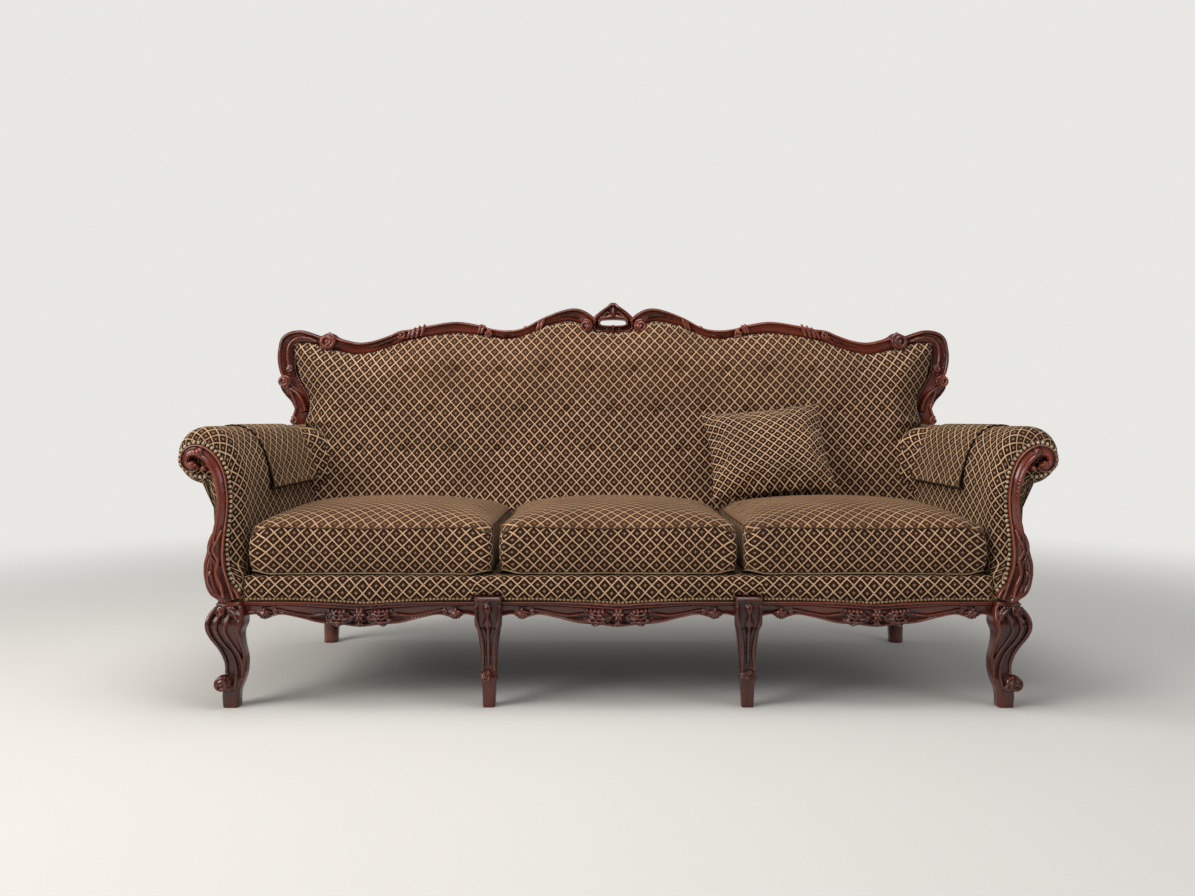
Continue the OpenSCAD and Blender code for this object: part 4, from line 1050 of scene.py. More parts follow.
    def outer_panel(self) -> bpy.types.Mesh:
        """The flat cloth of the arm's outer side."""
        u, v = grid((0, 1, 90), (0, 1, 36))
        z = self.outer_foot + self.outer_height * v
        yy = self.outer_front + (lean(z) - 3 - self.outer_front) * u
        puff = 1.5 * (1 - (2 * u - 1) ** 6) * (1 - (2 * v - 1) ** 4)
        cloth = np.dstack([yy, z, np.full_like(z, 0.1)])
        outside, inside = self.outer_faces[0] - puff, np.full_like(z, self.outer_faces[1])
        shape = Shape().shell(np.dstack([outside, yy, z]), np.dstack([inside, yy, z]), cloth)
        return shape.mesh("outer_arm_cloth_left")

    def braid(self) -> bpy.types.Mesh:
        """Looped braid along the inner edge of the post and over its volute."""
        path = spline(ArmPost.rows[:-1], 1.5)
        h = headings(path[:, :2])
        off = path[:, 2] / 2 + 4.0
        line = np.column_stack([path[:, 0] + h[:, 1] * off, path[:, 1] - h[:, 0] * off])
        # Under the volute it runs back to the outer side of the post
        line = spline(np.vstack([line[6::12], ((-968, 533), (-949, 534))]), 1.5)
        shape = Shape()
        depth = np.full(len(line), self.front - self.dome - 0.8)
        Braid(pitch=11.2, loop=(3.9, 4.4, 3.2), band=7.0).along(
            shape, np.column_stack([line[:, 0], depth, line[:, 1]]))
        return shape.mesh("braid_arm_looped_left")

    def build(self) -> None:
        """Builds both arms: the left one, and its mirror image."""
        cover_cloth, cover_hem = self.cover()
        made = {"pad": self.pad(), "cover": cover_cloth, "hem": cover_hem, "outer": self.outer_panel(),
                "braid": self.braid()}
        for side in Side:
            mesh = {k: m if side is Side.LEFT else mirrored(m) for k, m in made.items()}
            end = side.value
            pad = piece(mesh["pad"], TRELLIS, "frame", "trellis_fabric", f"arm_pad_{end}")
            cover = piece(mesh["cover"], COVER, f"cover_{end}", "trellis_fabric", f"arm_cover_{end}")
            piece(mesh["hem"], HEM_CORD_AND_SHADOW, f"cover_{end}", "gimp_braid")
            panel = piece(mesh["outer"], TRELLIS, "frame", "trellis_fabric", f"outside_arm_panel_{end}")
            piece(mesh["braid"], BRAID, "frame", "gimp_braid", f"gimp_arm_{end}")


# ---- Loose cushions, sewn from panels and blown up by a cloth simulation


def inflated(mesh: bpy.types.Mesh, pressure: float, cap_mm: float, sewn: Array, draw: float) -> None:
    """Lets a closed cloth swell, and keeps each point within a distance of where it began.

    Args:
        mesh: the cloth in metres, changed in place.
        pressure: the push of the filling.
        cap_mm: how far a point may move.
        sewn: the points on a seam, which shrink a little and pucker.
        draw: how much the seam shrinks.
    """
    scene = bpy.context.scene
    rest = np.zeros(len(mesh.vertices) * 3, np.float32)
    mesh.vertices.foreach_get("co", rest)
    holder = bpy.data.objects.new("swelling", mesh.copy())
    scene.collection.objects.link(holder)
    group = holder.vertex_groups.new(name="seam")
    group.add([int(k) for k in sewn], 1.0, "REPLACE")
    cloth = holder.modifiers.new("cloth", "CLOTH")
    settings = cloth.settings
    settings.quality, settings.mass = 6, 0.25
    settings.tension_stiffness = settings.compression_stiffness = 28
    settings.shear_stiffness, settings.bending_stiffness = 12, 0.8
    settings.use_pressure, settings.uniform_pressure_force = True, pressure
    settings.vertex_group_shrink, settings.shrink_max = "seam", draw
    settings.effector_weights.gravity = 0
    cloth.collision_settings.use_collision = cloth.collision_settings.use_self_collision = False
    cloth.point_cache.frame_start, cloth.point_cache.frame_end = 1, 20
    for frame_number in range(1, 21):
        scene.frame_set(frame_number)
    graph = bpy.context.evaluated_depsgraph_get()
    swollen = np.zeros_like(rest)
    holder.evaluated_get(graph).data.vertices.foreach_get("co", swollen)
    move = (swollen - rest).reshape(-1, 3)
    far = np.maximum(np.linalg.norm(move, axis=1, keepdims=True), 1e-9)
    cap = cap_mm * MM
    move *= cap * np.tanh(far / cap) / far
    mesh.vertices.foreach_set("co", (rest.reshape(-1, 3) + move).astype(np.float32).ravel())
    mesh.update()
    bpy.data.objects.remove(holder)
    scene.frame_set(1)


def sewn_mesh(name: str, points: Array, faces: Array, cloth: Array) -> bpy.types.Mesh:
    """A mesh whose panels share points along their seams, and keep their own place on the cloth.

    Args:
        name: the mesh's name.
        points: its points in millimetres.
        faces: its faces.
        cloth: where each face's corners lie on the cloth, and their wear and painted sheen.

    Returns:
        The mesh.
    """
    mesh = bpy.data.meshes.new(name)
    mesh.from_pydata((points * MM).tolist(), [], faces.tolist())
    layer = mesh.attributes.new(CLOTH_MAP, "FLOAT_VECTOR", "CORNER")
    layer.data.foreach_set("vector", (cloth.reshape(-1, 3) * (MM, MM, 1)).astype(np.float32).ravel())
    return mesh


def squared(a: Array, b: Array, power: float = 60.0) -> tuple[Array, Array]:
    """Rounds the corners of a square grid that runs from -1 to 1 both ways."""
    angle = np.arctan2(b, a)
    c, s = np.abs(np.cos(angle)), np.abs(np.sin(angle))
    round_share = (c**power + s**power) ** (-1 / power) * np.maximum(c, s)
    pull = 1 - (1 - round_share) * np.maximum(np.abs(a), np.abs(b)) ** 4
    return a * pull, b * pull


@dataclass
class SeatCushion:
    """A boxed seat cushion: top and bottom panels sewn to a band, over a soft filling."""

    end: str
    low: Vector = field(init=False)
    high: Vector = field(init=False)
    cell: float = 15.0
    # Height of the top seam over the deck, and of the crown over the seam
    seam: float = 110.0
    crown: float = 38.0
    band_rows: int = 7
    # How far the seams lie in from the band's belly, how much more at the corners, and how far those sink
    inset: tuple[float, float] = (2.5, 8.0)
    soft: float = 4.0
    sink: float = 15.0
    # Push of the filling, the most it moves a point, and how much the top seam puckers
    pressure: float = 3.0
    most: float = 14.0
    pucker: float = 0.015
    # How far it may pass its solid in X and Y, and how far hands have pulled its corners out again
    slack: tuple[float, float] = (0.6, 6.0)
    pulled: tuple[float, float] = (0.05, 0.02)
    easing: float = 6.0
    # Wear and painted sheen of the seat's edge and middle, of the band and of the base: the top panel is
    # drawn much lighter than the band
    wear: tuple[float, float, float, float] = (0.55, 0.4, 0.12, 0.1)
    piping: float = 1.9

    def __post_init__(self) -> None:
        """Takes the room that the solid has."""
        self.low, self.high = room(f"seat_cushion_{self.end}")

    def panels(self) -> tuple[Array, ...]:
        """The cushion as cut and sewn.

        Returns:
            Points, faces, their corners on the cloth, and the points of the top and of the base seam.
        """
        low, high = self.low, self.high
        wide, deep = high.x - low.x, high.y - low.y
        mid = ((high.x + low.x) / 2, (high.y + low.y) / 2)
        nx, ny = round(wide / self.cell), round(deep / self.cell)
        b, a = grid((-1, 1, ny + 1), (-1, 1, nx + 1))
        corner = blend(np.abs(a * b), 0.84, 1.0)
        a, b = squared(a, b)
        x = mid[0] + a * (wide / 2 - self.inset[0] - self.soft * corner)
        y = mid[1] + b * (deep / 2 - self.inset[1] - self.soft * corner)
        dome = ((1 - a**2) * (1 - b**2)) ** 0.55
        # The front of the seat is softer
        top = low.z + self.seam + self.crown * dome - 4 * np.exp(-((b + 1) / 0.3) ** 2) * (1 - a**2)
        top -= self.sink * corner
        base = low.z + 0.6 + 0.5 * self.sink * corner
        index = np.arange(x.size).reshape(x.shape)
        rim = np.r_[index[:, 0], index[-1, 1:], index[-2::-1, -1], index[0, -2:0:-1]]
        count = len(rim)
        # Wear and painted sheen: lightest in the middle of the top panel
        worn = np.exp(-(((x - mid[0]) / wide * 2.2) ** 2 + ((y - mid[1]) / deep * 2) ** 2))
        points = [np.dstack([x, y, top]).reshape(-1, 3)]
        worn = self.wear[0] + self.wear[1] * worn
        over = np.dstack([x, y + low.z + self.seam - low.y, worn]).reshape(-1, 3)
        # The band swells between its seams
        ring, foot, give = points[0][rim], base.ravel()[rim], self.soft * corner.ravel()[rim]
        levels = np.linspace(1, 0, self.band_rows + 1)
        rows = [rim]
        for k, level in enumerate(levels[1:]):
            belly = math.sin(math.pi * level) ** 0.7 if 0 < level < 1 else 0.0
            sides = [ring[:, w] + (ring[:, w] - mid[w]) / size * 2 * belly * (self.inset[w] - 1 + give)
                     for w, size in enumerate((wide, deep))]
            points.append(np.column_stack([*sides, foot + (ring[:, 2] - foot) * level]))
            rows.append(np.arange(count) + x.size + k * count)
        run = run_of(np.vstack([ring, ring[:1]])[:, :2])
        u, v = np.meshgrid(ring[0, 0] + run, low.z + self.seam * levels)
        around = np.dstack([u, v, np.full_like(u, self.wear[2])]).reshape(-1, 3)
        # The bottom panel shares the band's last row
        inner = np.zeros(x.shape, bool)
        inner[1:-1, 1:-1] = True
        under = np.zeros(x.shape, int)
        under[inner] = np.arange(inner.sum()) + x.size + self.band_rows * count
        under.ravel()[rim] = rows[-1]
        points.append(np.column_stack([x[inner], y[inner], base[inner]]))
        below = np.dstack([x, y, np.full_like(x, self.wear[3])]).reshape(-1, 3)
        closed, turned = np.array(rows)[:, np.r_[np.arange(count), 0]], [0, 3, 2, 1]
        faces = np.vstack([quads(index), quads(closed), quads(under)[:, turned]])
        cloth = np.vstack([over[quads(index)], around[quads(np.arange(u.size).reshape(u.shape))],
                           below[quads(index)[:, turned]]])
        return np.vstack(points), faces, cloth, rim, rows[-1]

    def build(self) -> None:
        """Sews, swells and dresses the cushion."""
        points, faces, cloth, top, base = self.panels()
        mesh = sewn_mesh(f"seat_cushion_boxed_{self.end}", points, faces, cloth)
        inflated(mesh, self.pressure, self.most, top, self.pucker)
        co = np.zeros(len(mesh.vertices) * 3)
        mesh.vertices.foreach_get("co", co)
        co = co.reshape(-1, 3) / MM
        # It stays between its neighbours and flat on the deck
        for k, (slack, pulled) in enumerate(zip(self.slack, self.pulled)):
            centre, half = (self.low[k] + self.high[k]) / 2, (self.high[k] - self.low[k]) / 2
            share = np.abs(co[:, k] - centre) / half
            off = (co[:, k] - centre) * (1 + pulled * share**8)
            reach, give = np.abs(off), self.easing + slack
            over = np.maximum(reach - half + self.easing, 0)
            reach = np.minimum(reach - over + give * np.tanh(over / give), half + slack)
            co[:, k] = centre + np.sign(off) * reach
        co[:, 2] = np.maximum(co[:, 2], self.low.z)
        mesh.vertices.foreach_set("co", (co * MM).astype(np.float32).ravel())
        mesh = applied(mesh, ("SUBSURF", {"levels": 2, "render_levels": 2}))
        cushion = piece(mesh, TRELLIS, f"cushion_{self.end}", "trellis_fabric", f"seat_cushion_{self.end}")
        # The top welt is drawn darker than the base welt: painted shade along the top edge
        self.welt("top", co[top], PIPING_SHADED)
        self.welt("base", co[base], PIPING)

    def welt(self, name: str, seam: Array, finish: Finish) -> None:
        """The piping in a seam.

        Args:
            name: which seam it is.
            seam: its points.
            finish: what it is made of.
        """
        line = spline(np.vstack([seam, seam[:3]]), 3.0, 3)
        out = line - line.mean(0)
        out[:, 2] = 0
        out /= np.linalg.norm(out, axis=1, keepdims=True)
        rings = cord(line - out * 0.6, out, np.cross(headings(line), out), self.piping)
        welt = Shape().tube(rings).mesh(f"seat_cushion_welt_{name}_{self.end}")
        piece(welt, finish, f"cushion_{self.end}", "trellis_fabric")


@dataclass
class ThrowPillow:
    """A nearly square pillow: two panels sewn edge to edge, leaning on the back."""

    wide: float = 376.0
    tall: float = 334.0
    place: tuple[float, float, float] = (431.0, 134.0, 577.0)
    # Degrees it leans back, rolls in its own plane and turns to the side
    tilt: float = 37.0
    roll: float = 7.0
    turn: float = -7.0
    cells: int = 26
    # Half its thickness before it swells, the bow of its edges and the pattern's stretch over the swell
    half_thick: float = 40.0
    bow: float = 0.05
    stretch: float = 1.06
    pressure: float = 2.5
    most: float = 16.0
    pucker: float = 0.12

    def build(self) -> None:
        """Sews, swells and leans the pillow."""
        n = self.cells + 1
        b, a = grid((-1, 1, n), (-1, 1, n))
        x = a * self.wide / 2 * (1 - self.bow * (1 - b**2))
        y = b * self.tall / 2 * (1 - self.bow * (1 - a**2))
        # Its corners are drawn out to points
        dome = self.half_thick * ((1 - a**2) * (1 - b**2)) ** 0.5 * (1 - 0.06 * (1 - a**2 * b**2))
        front = np.arange(n * n).reshape(n, n)
        inner = np.zeros((n, n), bool)
        inner[1:-1, 1:-1] = True
        back = front.copy()
        back[inner] = n * n + np.arange(inner.sum())
        points = np.vstack([np.dstack([x, y, dome]).reshape(-1, 3),
                            np.column_stack([x[inner], y[inner], -dome[inner]])])
        flat = np.dstack([x * self.stretch, y * self.stretch, 0 * x]).reshape(-1, 3)[quads(front)]
        faces = np.stack([quads(front), quads(back)[:, ::-1]], 1).reshape(-1, 4)
        mesh = sewn_mesh("throw_pillow_sewn", points, faces, np.stack([flat, flat[:, ::-1]], 1))
        inflated(mesh, self.pressure, self.most, front[~inner], self.pucker)
        turns = [Matrix.Rotation(math.radians(angle), 4, axis)
                 for angle, axis in ((self.turn, "Z"), (90 - self.tilt, "X"), (self.roll, "Z"))]
        mesh.transform(Matrix.Translation(Vector(self.place) * MM) @ turns[0] @ (turns[1] @ turns[2]))
        mesh = applied(mesh, ("SUBSURF", {"levels": 2, "render_levels": 2}))
        piece(mesh, TRELLIS, "pillow", "trellis_fabric", "throw_pillow")


@dataclass
class SeatUpholstery:
    """The band over the front rail, the padded deck under the cushions and the cloth that carries it."""

    half: float = 864.0
    deck_top: float = 304.5
    # The outer bays between the legs: their middle, and half their width
    bay: tuple[float, float] = (582.0, 283.0)
    band_foot: float = 250.0
    band_dip: float = 9.0
    # Over the blocks of the middle legs the band ends higher
    block_half: float = 34.0
    block_top: float = 259.0
    # The band's face: how far it stands before the rail, and share of its height
    swell: Rows = ((0.6, 0), (8, 0.0), (12.5, 0.06), (15.5, 0.25), (17, 0.5), (16, 0.78), (11, 0.93),
                   (3, 0.995), (-6, 1), (-6, 0.97), (0.6, 0.9))
    # X, Y and half width of the holes that the legs' tops need in the dust cloth, on one side
    leg_tops: Rows = ((895.0, -385.0, 37.0), (299.0, -406.0, 37.0), (845.0, 337.0, 38.0))

    def band_low(self, x: Array) -> Array:
        """Height of the band's lower edge: it follows the dip in the middle of each apron."""
        far = np.abs(x)
        share = np.where(far < MIDDLE_LEG_X, far / MIDDLE_LEG_X, np.abs(far - self.bay[0]) / self.bay[1])
        dip = self.band_dip * np.clip(1 - share / 0.6, 0, 1) ** 1.3
        return np.where(np.abs(far - MIDDLE_LEG_X) < self.block_half, self.block_top, self.band_foot - dip)

    def band(self) -> None:
        """The stuffed band of cloth over the front rail."""
        x = np.linspace(-self.half, self.half, 433)
        low, top = self.band_low(x), self.deck_top - 1.5
        face = [(FRONT - proud, share) for proud, share in self.swell]
        line = spline(face[:-2], 1.6)
        line = np.vstack([line[:: max(1, len(line) // 22)], face[-2:]])
        end = 1 - blend(np.abs(x), self.half - 12, self.half + 4)
        y = (FRONT - 0.6) + (line[None, :, 0] - FRONT + 0.6) * (0.35 + 0.65 * end[:, None])
        z = low[:, None] + line[None, :, 1] * (top - low)[:, None]
        run = run_of(line * (1, 55))
        wide = np.repeat(x[:, None], len(line), 1)
        cloth = np.dstack([wide, np.tile(run, (len(x), 1)), np.full(y.shape, 0.04)])
        shape = Shape().tube(np.dstack([wide, y, z]), cloth)
        band = piece(shape.mesh("seat_band_stuffed"), TRELLIS, "frame", "trellis_fabric", "deck_band")

    def band_braid(self) -> None:
        """Scalloped braid between the band and the aprons."""
        shape, braid = Shape(), Braid(pitch=9.0, loop=(3.4, 3.0, 2.6), band=5.0)
        for low, high in ((-860, -334), (-264, 264), (334, 860)):
            x = np.linspace(low, high, 200)
            braid.along(shape, np.column_stack([x, np.full_like(x, FRONT - 15.5), self.band_low(x) + 1.5]))
        piece(shape.mesh("braid_apron_scalloped"), PIPING, "frame", "gimp_braid", "gimp_apron")

    def deck(self) -> None:
        """The thin stuffed deck that the cushions lie on."""
        low, high = room("seat_deck")
        x, y = grid((low.x, high.x, 90), (low.y, high.y, 50))
        a, b = (2 * (x - low.x) / (high.x - low.x) - 1), (2 * (y - low.y) / (high.y - low.y) - 1)
        rim = np.clip(np.minimum(1 - np.abs(a), 1 - np.abs(b)) * 12, 0, 1)
        top = high.z - 3 + 2.6 * np.sqrt(rim) + 0.3 * np.sin(x / 40) * np.sin(y / 37) * rim
        cloth = np.dstack([x, y, np.full_like(x, 0.2)])
        shape = Shape().shell(np.dstack([x, y, top]), np.dstack([x, y, np.full_like(x, low.z)]), cloth)
        deck = piece(shape.mesh("seat_deck_stuffed"), TRELLIS, "frame", "trellis_fabric", "seat_deck")

    def build(self) -> None:
        """Builds the seat's fixed upholstery."""
        self.band()
        self.band_braid()
        self.deck()
        Webbing("seat").build()
        Webbing("back").build()
        self.hessians()
        self.dust_cloth()

    def hessians(self) -> None:
        """The jute cloth over the webbing of the seat and of the back."""
        low, high = room("seat_hessian")
        x, y = grid((low.x, high.x, 60), (low.y, 325, 30))
        sag = 0.25 * np.sin(x / 33) * np.sin(y / 33)
        top, base = high.z - 0.3 + sag, low.z + 0.2 + sag * 0.5
        shape = Shape().shell(np.dstack([x, y, top]), np.dstack([x, y, base]), np.dstack([x, y, 0 * x]))
        seat = piece(shape.mesh("seat_hessian_stretched"), JUTE, "frame", "jute", "seat_hessian")
        low, high = room("back_hessian")
        x, z = grid((low.x, high.x, 60), (low.z, high.z, 30))
        y = lean(z) - 41.4
        shape = Shape().shell(np.dstack([x, y, z]), np.dstack([x, y + 0.8, z]), np.dstack([x, z, 0 * x]))
        back = piece(shape.mesh("back_hessian_stretched"), JUTE, "frame", "jute", "back_hessian")

    def dust_cloth(self) -> None:
        """The black cambric tacked under the seat, cut round the tops of the legs."""
        low, high = room("dust_cover")
        legs = np.array([(end * x, y, half) for end in (-1, 1) for x, y, half in self.leg_tops])

        def cuts(axis: int, count: int) -> Array:
            """Even lines across one axis, and one along each edge of a hole."""
            lines = np.r_[np.linspace(low[axis], high[axis], count), legs[:, axis] - legs[:, 2],
                          legs[:, axis] + legs[:, 2]]
            return np.unique(lines[(lines >= low[axis]) & (lines <= high[axis])])

        xs, ys = cuts(0, 80), cuts(1, 40)
        keep = [(i, j) for i in range(len(xs) - 1) for j in range(len(ys) - 1)
                if not any(max(abs((xs[i] + xs[i + 1]) / 2 - x), abs((ys[j] + ys[j + 1]) / 2 - y)) < half
                           for x, y, half in legs)]
        used = sorted({(i + di, j + dj) for i, j in keep for di in (0, 1) for dj in (0, 1)})
        number = {c: k for k, c in enumerate(used)}
        at = np.array([(xs[i], ys[j]) for i, j in used])
        sag = 0.4 * np.sin(at[:, 0] / 57) * np.sin(at[:, 1] / 61)
        top = np.column_stack([at, np.full(len(at), high.z - 0.1)])
        base = np.column_stack([at, np.full(len(at), low.z + 0.3) + sag * 0.5])
        faces = np.array([[number[i, j], number[i + 1, j], number[i + 1, j + 1], number[i, j + 1]]
                          for i, j in keep])
        edges = {(a, b): None for q in faces.tolist() for a, b in zip(q, q[1:] + q[:1])}
        n = len(at)
        rim = np.array([[b, a, a + n, b + n] for a, b in edges if (b, a) not in edges])
        cloth = np.column_stack([at, np.zeros(n)])
        shape = Shape().add(np.vstack([top, base]), np.vstack([faces, faces[:, ::-1] + n, rim]),
                            np.vstack([cloth, cloth]))
        made = piece(shape.mesh("dust_cloth_tacked"), CAMBRIC, "frame", "dust_cloth", "dust_cover")


@dataclass
class Webbing:
    """Jute straps, woven over and under each other."""

    where: str
    width: float = 50.0
    pitch: float = 100.0
    thick: float = 1.1
    waves: float = 0.6

    def build(self) -> None:
        """Weaves the straps in the room of the solid webbing."""
        low, high = room(f"{self.where}_webbing")
        on_seat = self.where == "seat"
        spans = ((low.x, high.x), (low.y, high.y) if on_seat else (low.z, high.z))
        ring = np.array([(-1, -1), (1, -1), (1, 1), (-1, 1)]) * (self.width / 2, self.thick / 2)
        shape = Shape()
        for way in (0, 1):
            reach, spread = spans[way], spans[1 - way]
            count = int((spread[1] - spread[0] + self.pitch - self.width) // self.pitch)
            first = (spread[0] + spread[1]) / 2 - (count - 1) / 2 * self.pitch
            at = np.linspace(reach[0], reach[1], 2 * int((reach[1] - reach[0]) / 12.5))
            for k in range(count):
                over = self.waves * np.sin(math.pi * (at - reach[0]) / self.pitch + math.pi * (k + way))
                centre = first + k * self.pitch
                flat = (np.repeat(at[:, None], 4, 1), centre + np.tile(ring[:, 0], (len(at), 1)))
                u, v = flat if way == 0 else flat[::-1]
                w = over[:, None] + ring[None, :, 1]
                rings = (u, v, (low.z + high.z) / 2 + w) if on_seat else (u, lean(v) - 39.3 - w, v)
                shape.tube(np.dstack(rings), np.dstack([u, v, 0 * u]))
        piece(shape.mesh(f"{self.where}_webbing_woven"), JUTE, "frame", "jute", f"{self.where}_webbing")


# ---- Carved frame

# Sections of the mouldings: share across, from the inner to the outer side, and share of the depth
RAIL_SECTION = (
    (-1, 0), (-1, 0.6), (-0.97, 0.7), (-0.9, 0.75), (-0.82, 0.72), (-0.78, 0.62), (-0.72, 0.6), (-0.6, 0.65),
    (-0.35, 0.71), (-0.05, 0.76), (0.25, 0.82), (0.42, 0.87), (0.47, 0.82), (0.51, 0.84), (0.56, 0.95),
    (0.66, 1), (0.8, 0.99), (0.92, 0.9), (1, 0.7), (1, 0))
POST_SECTION = (
    (-1, 0), (-1, 0.5), (-0.96, 0.66), (-0.88, 0.74), (-0.78, 0.72), (-0.72, 0.58), (-0.6, 0.56),
    (-0.4, 0.64), (-0.15, 0.76), (0.05, 0.84), (0.12, 0.8), (0.18, 0.84), (0.28, 0.97), (0.42, 1),
    (0.6, 0.97), (0.8, 0.82), (0.93, 0.62), (1, 0.4), (1, 0))
BUD_PROFILE = ((1, 0), (1, 0.4), (0.98, 0.55), (0.9, 0.72), (0.74, 0.86), (0.5, 0.95), (0.22, 1))


@dataclass
class Carving:
    """Ornament that grows form by form on a surface, and is then carved as one.

    Forms are laid out as seen from the front: X, height and how proud they stand.
    """

    back: Callable[[Array], Array]
    shape: Shape = field(default_factory=Shape)

    def place(self, points: Array) -> Array:
        """From X, height and proudness to the sofa's own X, Y and Z."""
        x, z, p = np.moveaxis(points, -1, 0)
        return np.stack([x, self.back(z) - p, z], -1)

    def beside(self, path: Array, across: Array, proud: Array) -> Array:
        """Places beside a path, square to its way.

        Args:
            path: its X and height.
            across: how far beside each point, for a row of places.
            proud: how far those places stand out.

        Returns:
            The places on the sofa.
        """
        h = headings(path[:, :2])
        x, z = path[:, :1] - across * h[:, 1:], path[:, 1:2] + across * h[:, :1]
        return self.place(np.stack([x, z, proud], -1))

    def moulding(self, rows: Iterable[Iterable[float]], section: Iterable[tuple[float, float]],
                 step: float = 2.0) -> None:
        """A moulding along a path.

        Args:
            rows: X, height, width and depth at points of the path.
            section: the moulding's shares across and of the depth.
            step: the distance between its rings.
        """
        path, s = spline(rows, step), np.array(list(section))
        self.shape.tube(self.beside(path, s[None, :, 0] * path[:, 2:3] / 2, s[None, :, 1] * path[:, 3:4]))

    def roll(self, path: Array) -> None:
        """A round roll: rows hold X, height, radius and the proudness of its middle."""
        b = circle(12)[None]
        self.shape.tube(self.beside(path, np.cos(b) * path[:, 2:3], path[:, 3:4] + np.sin(b) * path[:, 2:3]))

    def vein(self, rows: Iterable[Iterable[float]]) -> None:
        """A roll along a smooth line through rows."""
        self.roll(spline(rows, 2))

    def bud(self, x: float, z: float, r: float, proud: float, long: float = 1.0, turn: float = 0.0) -> None:
        """A domed form: an eye, a berry, or a petal when it is long.

        Args:
            x: its middle.
            z: its middle's height.
            r: its radius.
            proud: how far it stands out.
            long: its length as a share of its width.
            turn: the way its length points, in degrees.
        """
        a = circle(24)
        c, s = math.cos(math.radians(turn)), math.sin(math.radians(turn))
        u, v = np.cos(a) * r * long, np.sin(a) * r
        rings = [np.column_stack([x + (u * c - v * s) * k, z + (u * s + v * c) * k, np.full(24, proud * p)])
                 for k, p in BUD_PROFILE]
        self.shape.tube(self.place(np.array(rings)))

    def coil(self, x: float, z: float, r: float, proud: float, start: float, hand: int = 1,
             turns: float = 1.35) -> None:
        """A volute: a roll that winds in to an eye.

        Args:
            x: its middle.
            z: its middle's height.
            r: its outer radius.
            proud: how far it stands out.
            start: the angle it begins at, in degrees.
            hand: 1 winds anticlockwise, -1 clockwise.
            turns: how often it goes round.
        """
        t = np.linspace(0, 1, 70)
        a = math.radians(start) + hand * t * turns * FULL
        thick = r * (0.26 - 0.12 * t)
        reach = r * (1 - 0.58 * t) - thick
        self.roll(np.column_stack([x + np.cos(a) * reach, z + np.sin(a) * reach, thick,
                                   proud - thick * (1.3 - 0.5 * t)]))
        self.bud(x, z, r * 0.95, proud * 0.66)
        self.bud(x, z, r * 0.3, proud * 1.03)

    def leaf(self, rows: Iterable[Iterable[float]], lobes: int, frill: float = 0.24,
             groove: float = 0.13) -> None:
        """An acanthus leaf with lobed edges and cut veins.

        Args:
            rows: X, height, half width and proudness along its midrib.
            lobes: how many lobes each edge has.
            frill: how far the lobes stand out, as a share of the half width.
            groove: how deep the veins are, as a share of the proudness.
        """
        path = spline(rows, 1.4)
        u, v = np.linspace(0, 1, len(path))[:, None], np.linspace(-1, 1, 23)[None]
        beat = np.abs(np.sin(math.pi * (lobes * u + 0.1)))
        half = path[:, 2:3] * (1 + frill * (beat - 0.5)) * np.ones_like(v)
        veins = np.cos(FULL * (lobes * u - 0.7 * np.abs(v))) * np.abs(v) ** 0.6
        rib = 0.1 * np.exp(-(v / 0.13) ** 2) - 0.12 * np.exp(-((np.abs(v) - 0.28) / 0.12) ** 2)
        p = path[:, 3:4] * (1 - 0.38 * v**2 + rib + groove * veins)
        low = np.minimum(path[:, 3].min() * 0.2, p * 0.5)
        front, back = (self.beside(path, half * v, proud) for proud in (p, low))
        self.shape.shell(front, back, np.zeros_like(front))

    def shell_fan(self, x: float, z: float, r: float, proud: float, turn: float = -90.0,
                  ribs: int = 7) -> None:
        """A carved shell, fanned out from its hinge.

        Args:
            x: the hinge.
            z: the hinge's height.
            r: the length of its ribs.
            proud: how far it stands out.
            turn: the way it opens, in degrees.
            ribs: how many ribs it has.
        """
        u, v = np.linspace(0.12, 1, 22)[:, None], np.linspace(-1, 1, 57)[None]
        a = math.radians(turn) + v * 1.25
        wave = np.cos(v * math.pi * ribs)
        reach = r * u * (1 - 0.16 * v**2) * (1 + 0.07 * wave * u)
        p = proud * (0.62 + 0.38 * np.sin(math.pi * np.minimum(1, u * 0.8 + 0.12))) * (1 - 0.22 * v**2)
        p = p + 0.13 * proud * wave * u
        top = np.stack([x + np.cos(a) * reach, z + np.sin(a) * reach, p * np.ones_like(reach)], -1)
        base = top.copy()
        base[..., 2] = np.minimum(0.0, base[..., 2] * 0.5)
        self.shape.shell(self.place(top), self.place(base), np.zeros_like(top))
        self.bud(x, z, r * 0.2, proud * 1.05)

    def mesh(self, name: str, voxel_mm: float = 1.7) -> bpy.types.Mesh:
        """The ornament, fused to one carved surface and rubbed smooth as by sanding.

        Args:
            name: the mesh's name.
            voxel_mm: the finest detail that is kept.

        Returns:
            The carved mesh.
        """
        return applied(self.shape.mesh(name), ("REMESH", {"mode": "VOXEL", "voxel_size": voxel_mm * MM}),
                       ("SMOOTH", {"factor": 0.5, "iterations": 2}))


def pair(mesh: bpy.types.Mesh, finish: Finish, stem: str) -> None:
    """Makes a left-hand mesh and its mirror image the carved pieces of the frame that stand for two solids.

    Args:
        mesh: the left-hand mesh.
        finish: what both are made of.
        stem: the solids' name without their side.
    """
    twin = mirrored(mesh)
    for side, made in ((Side.LEFT, mesh), (Side.RIGHT, twin)):
        piece(made, finish, "frame", "carved_mahogany", f"{stem}_{side.value}")


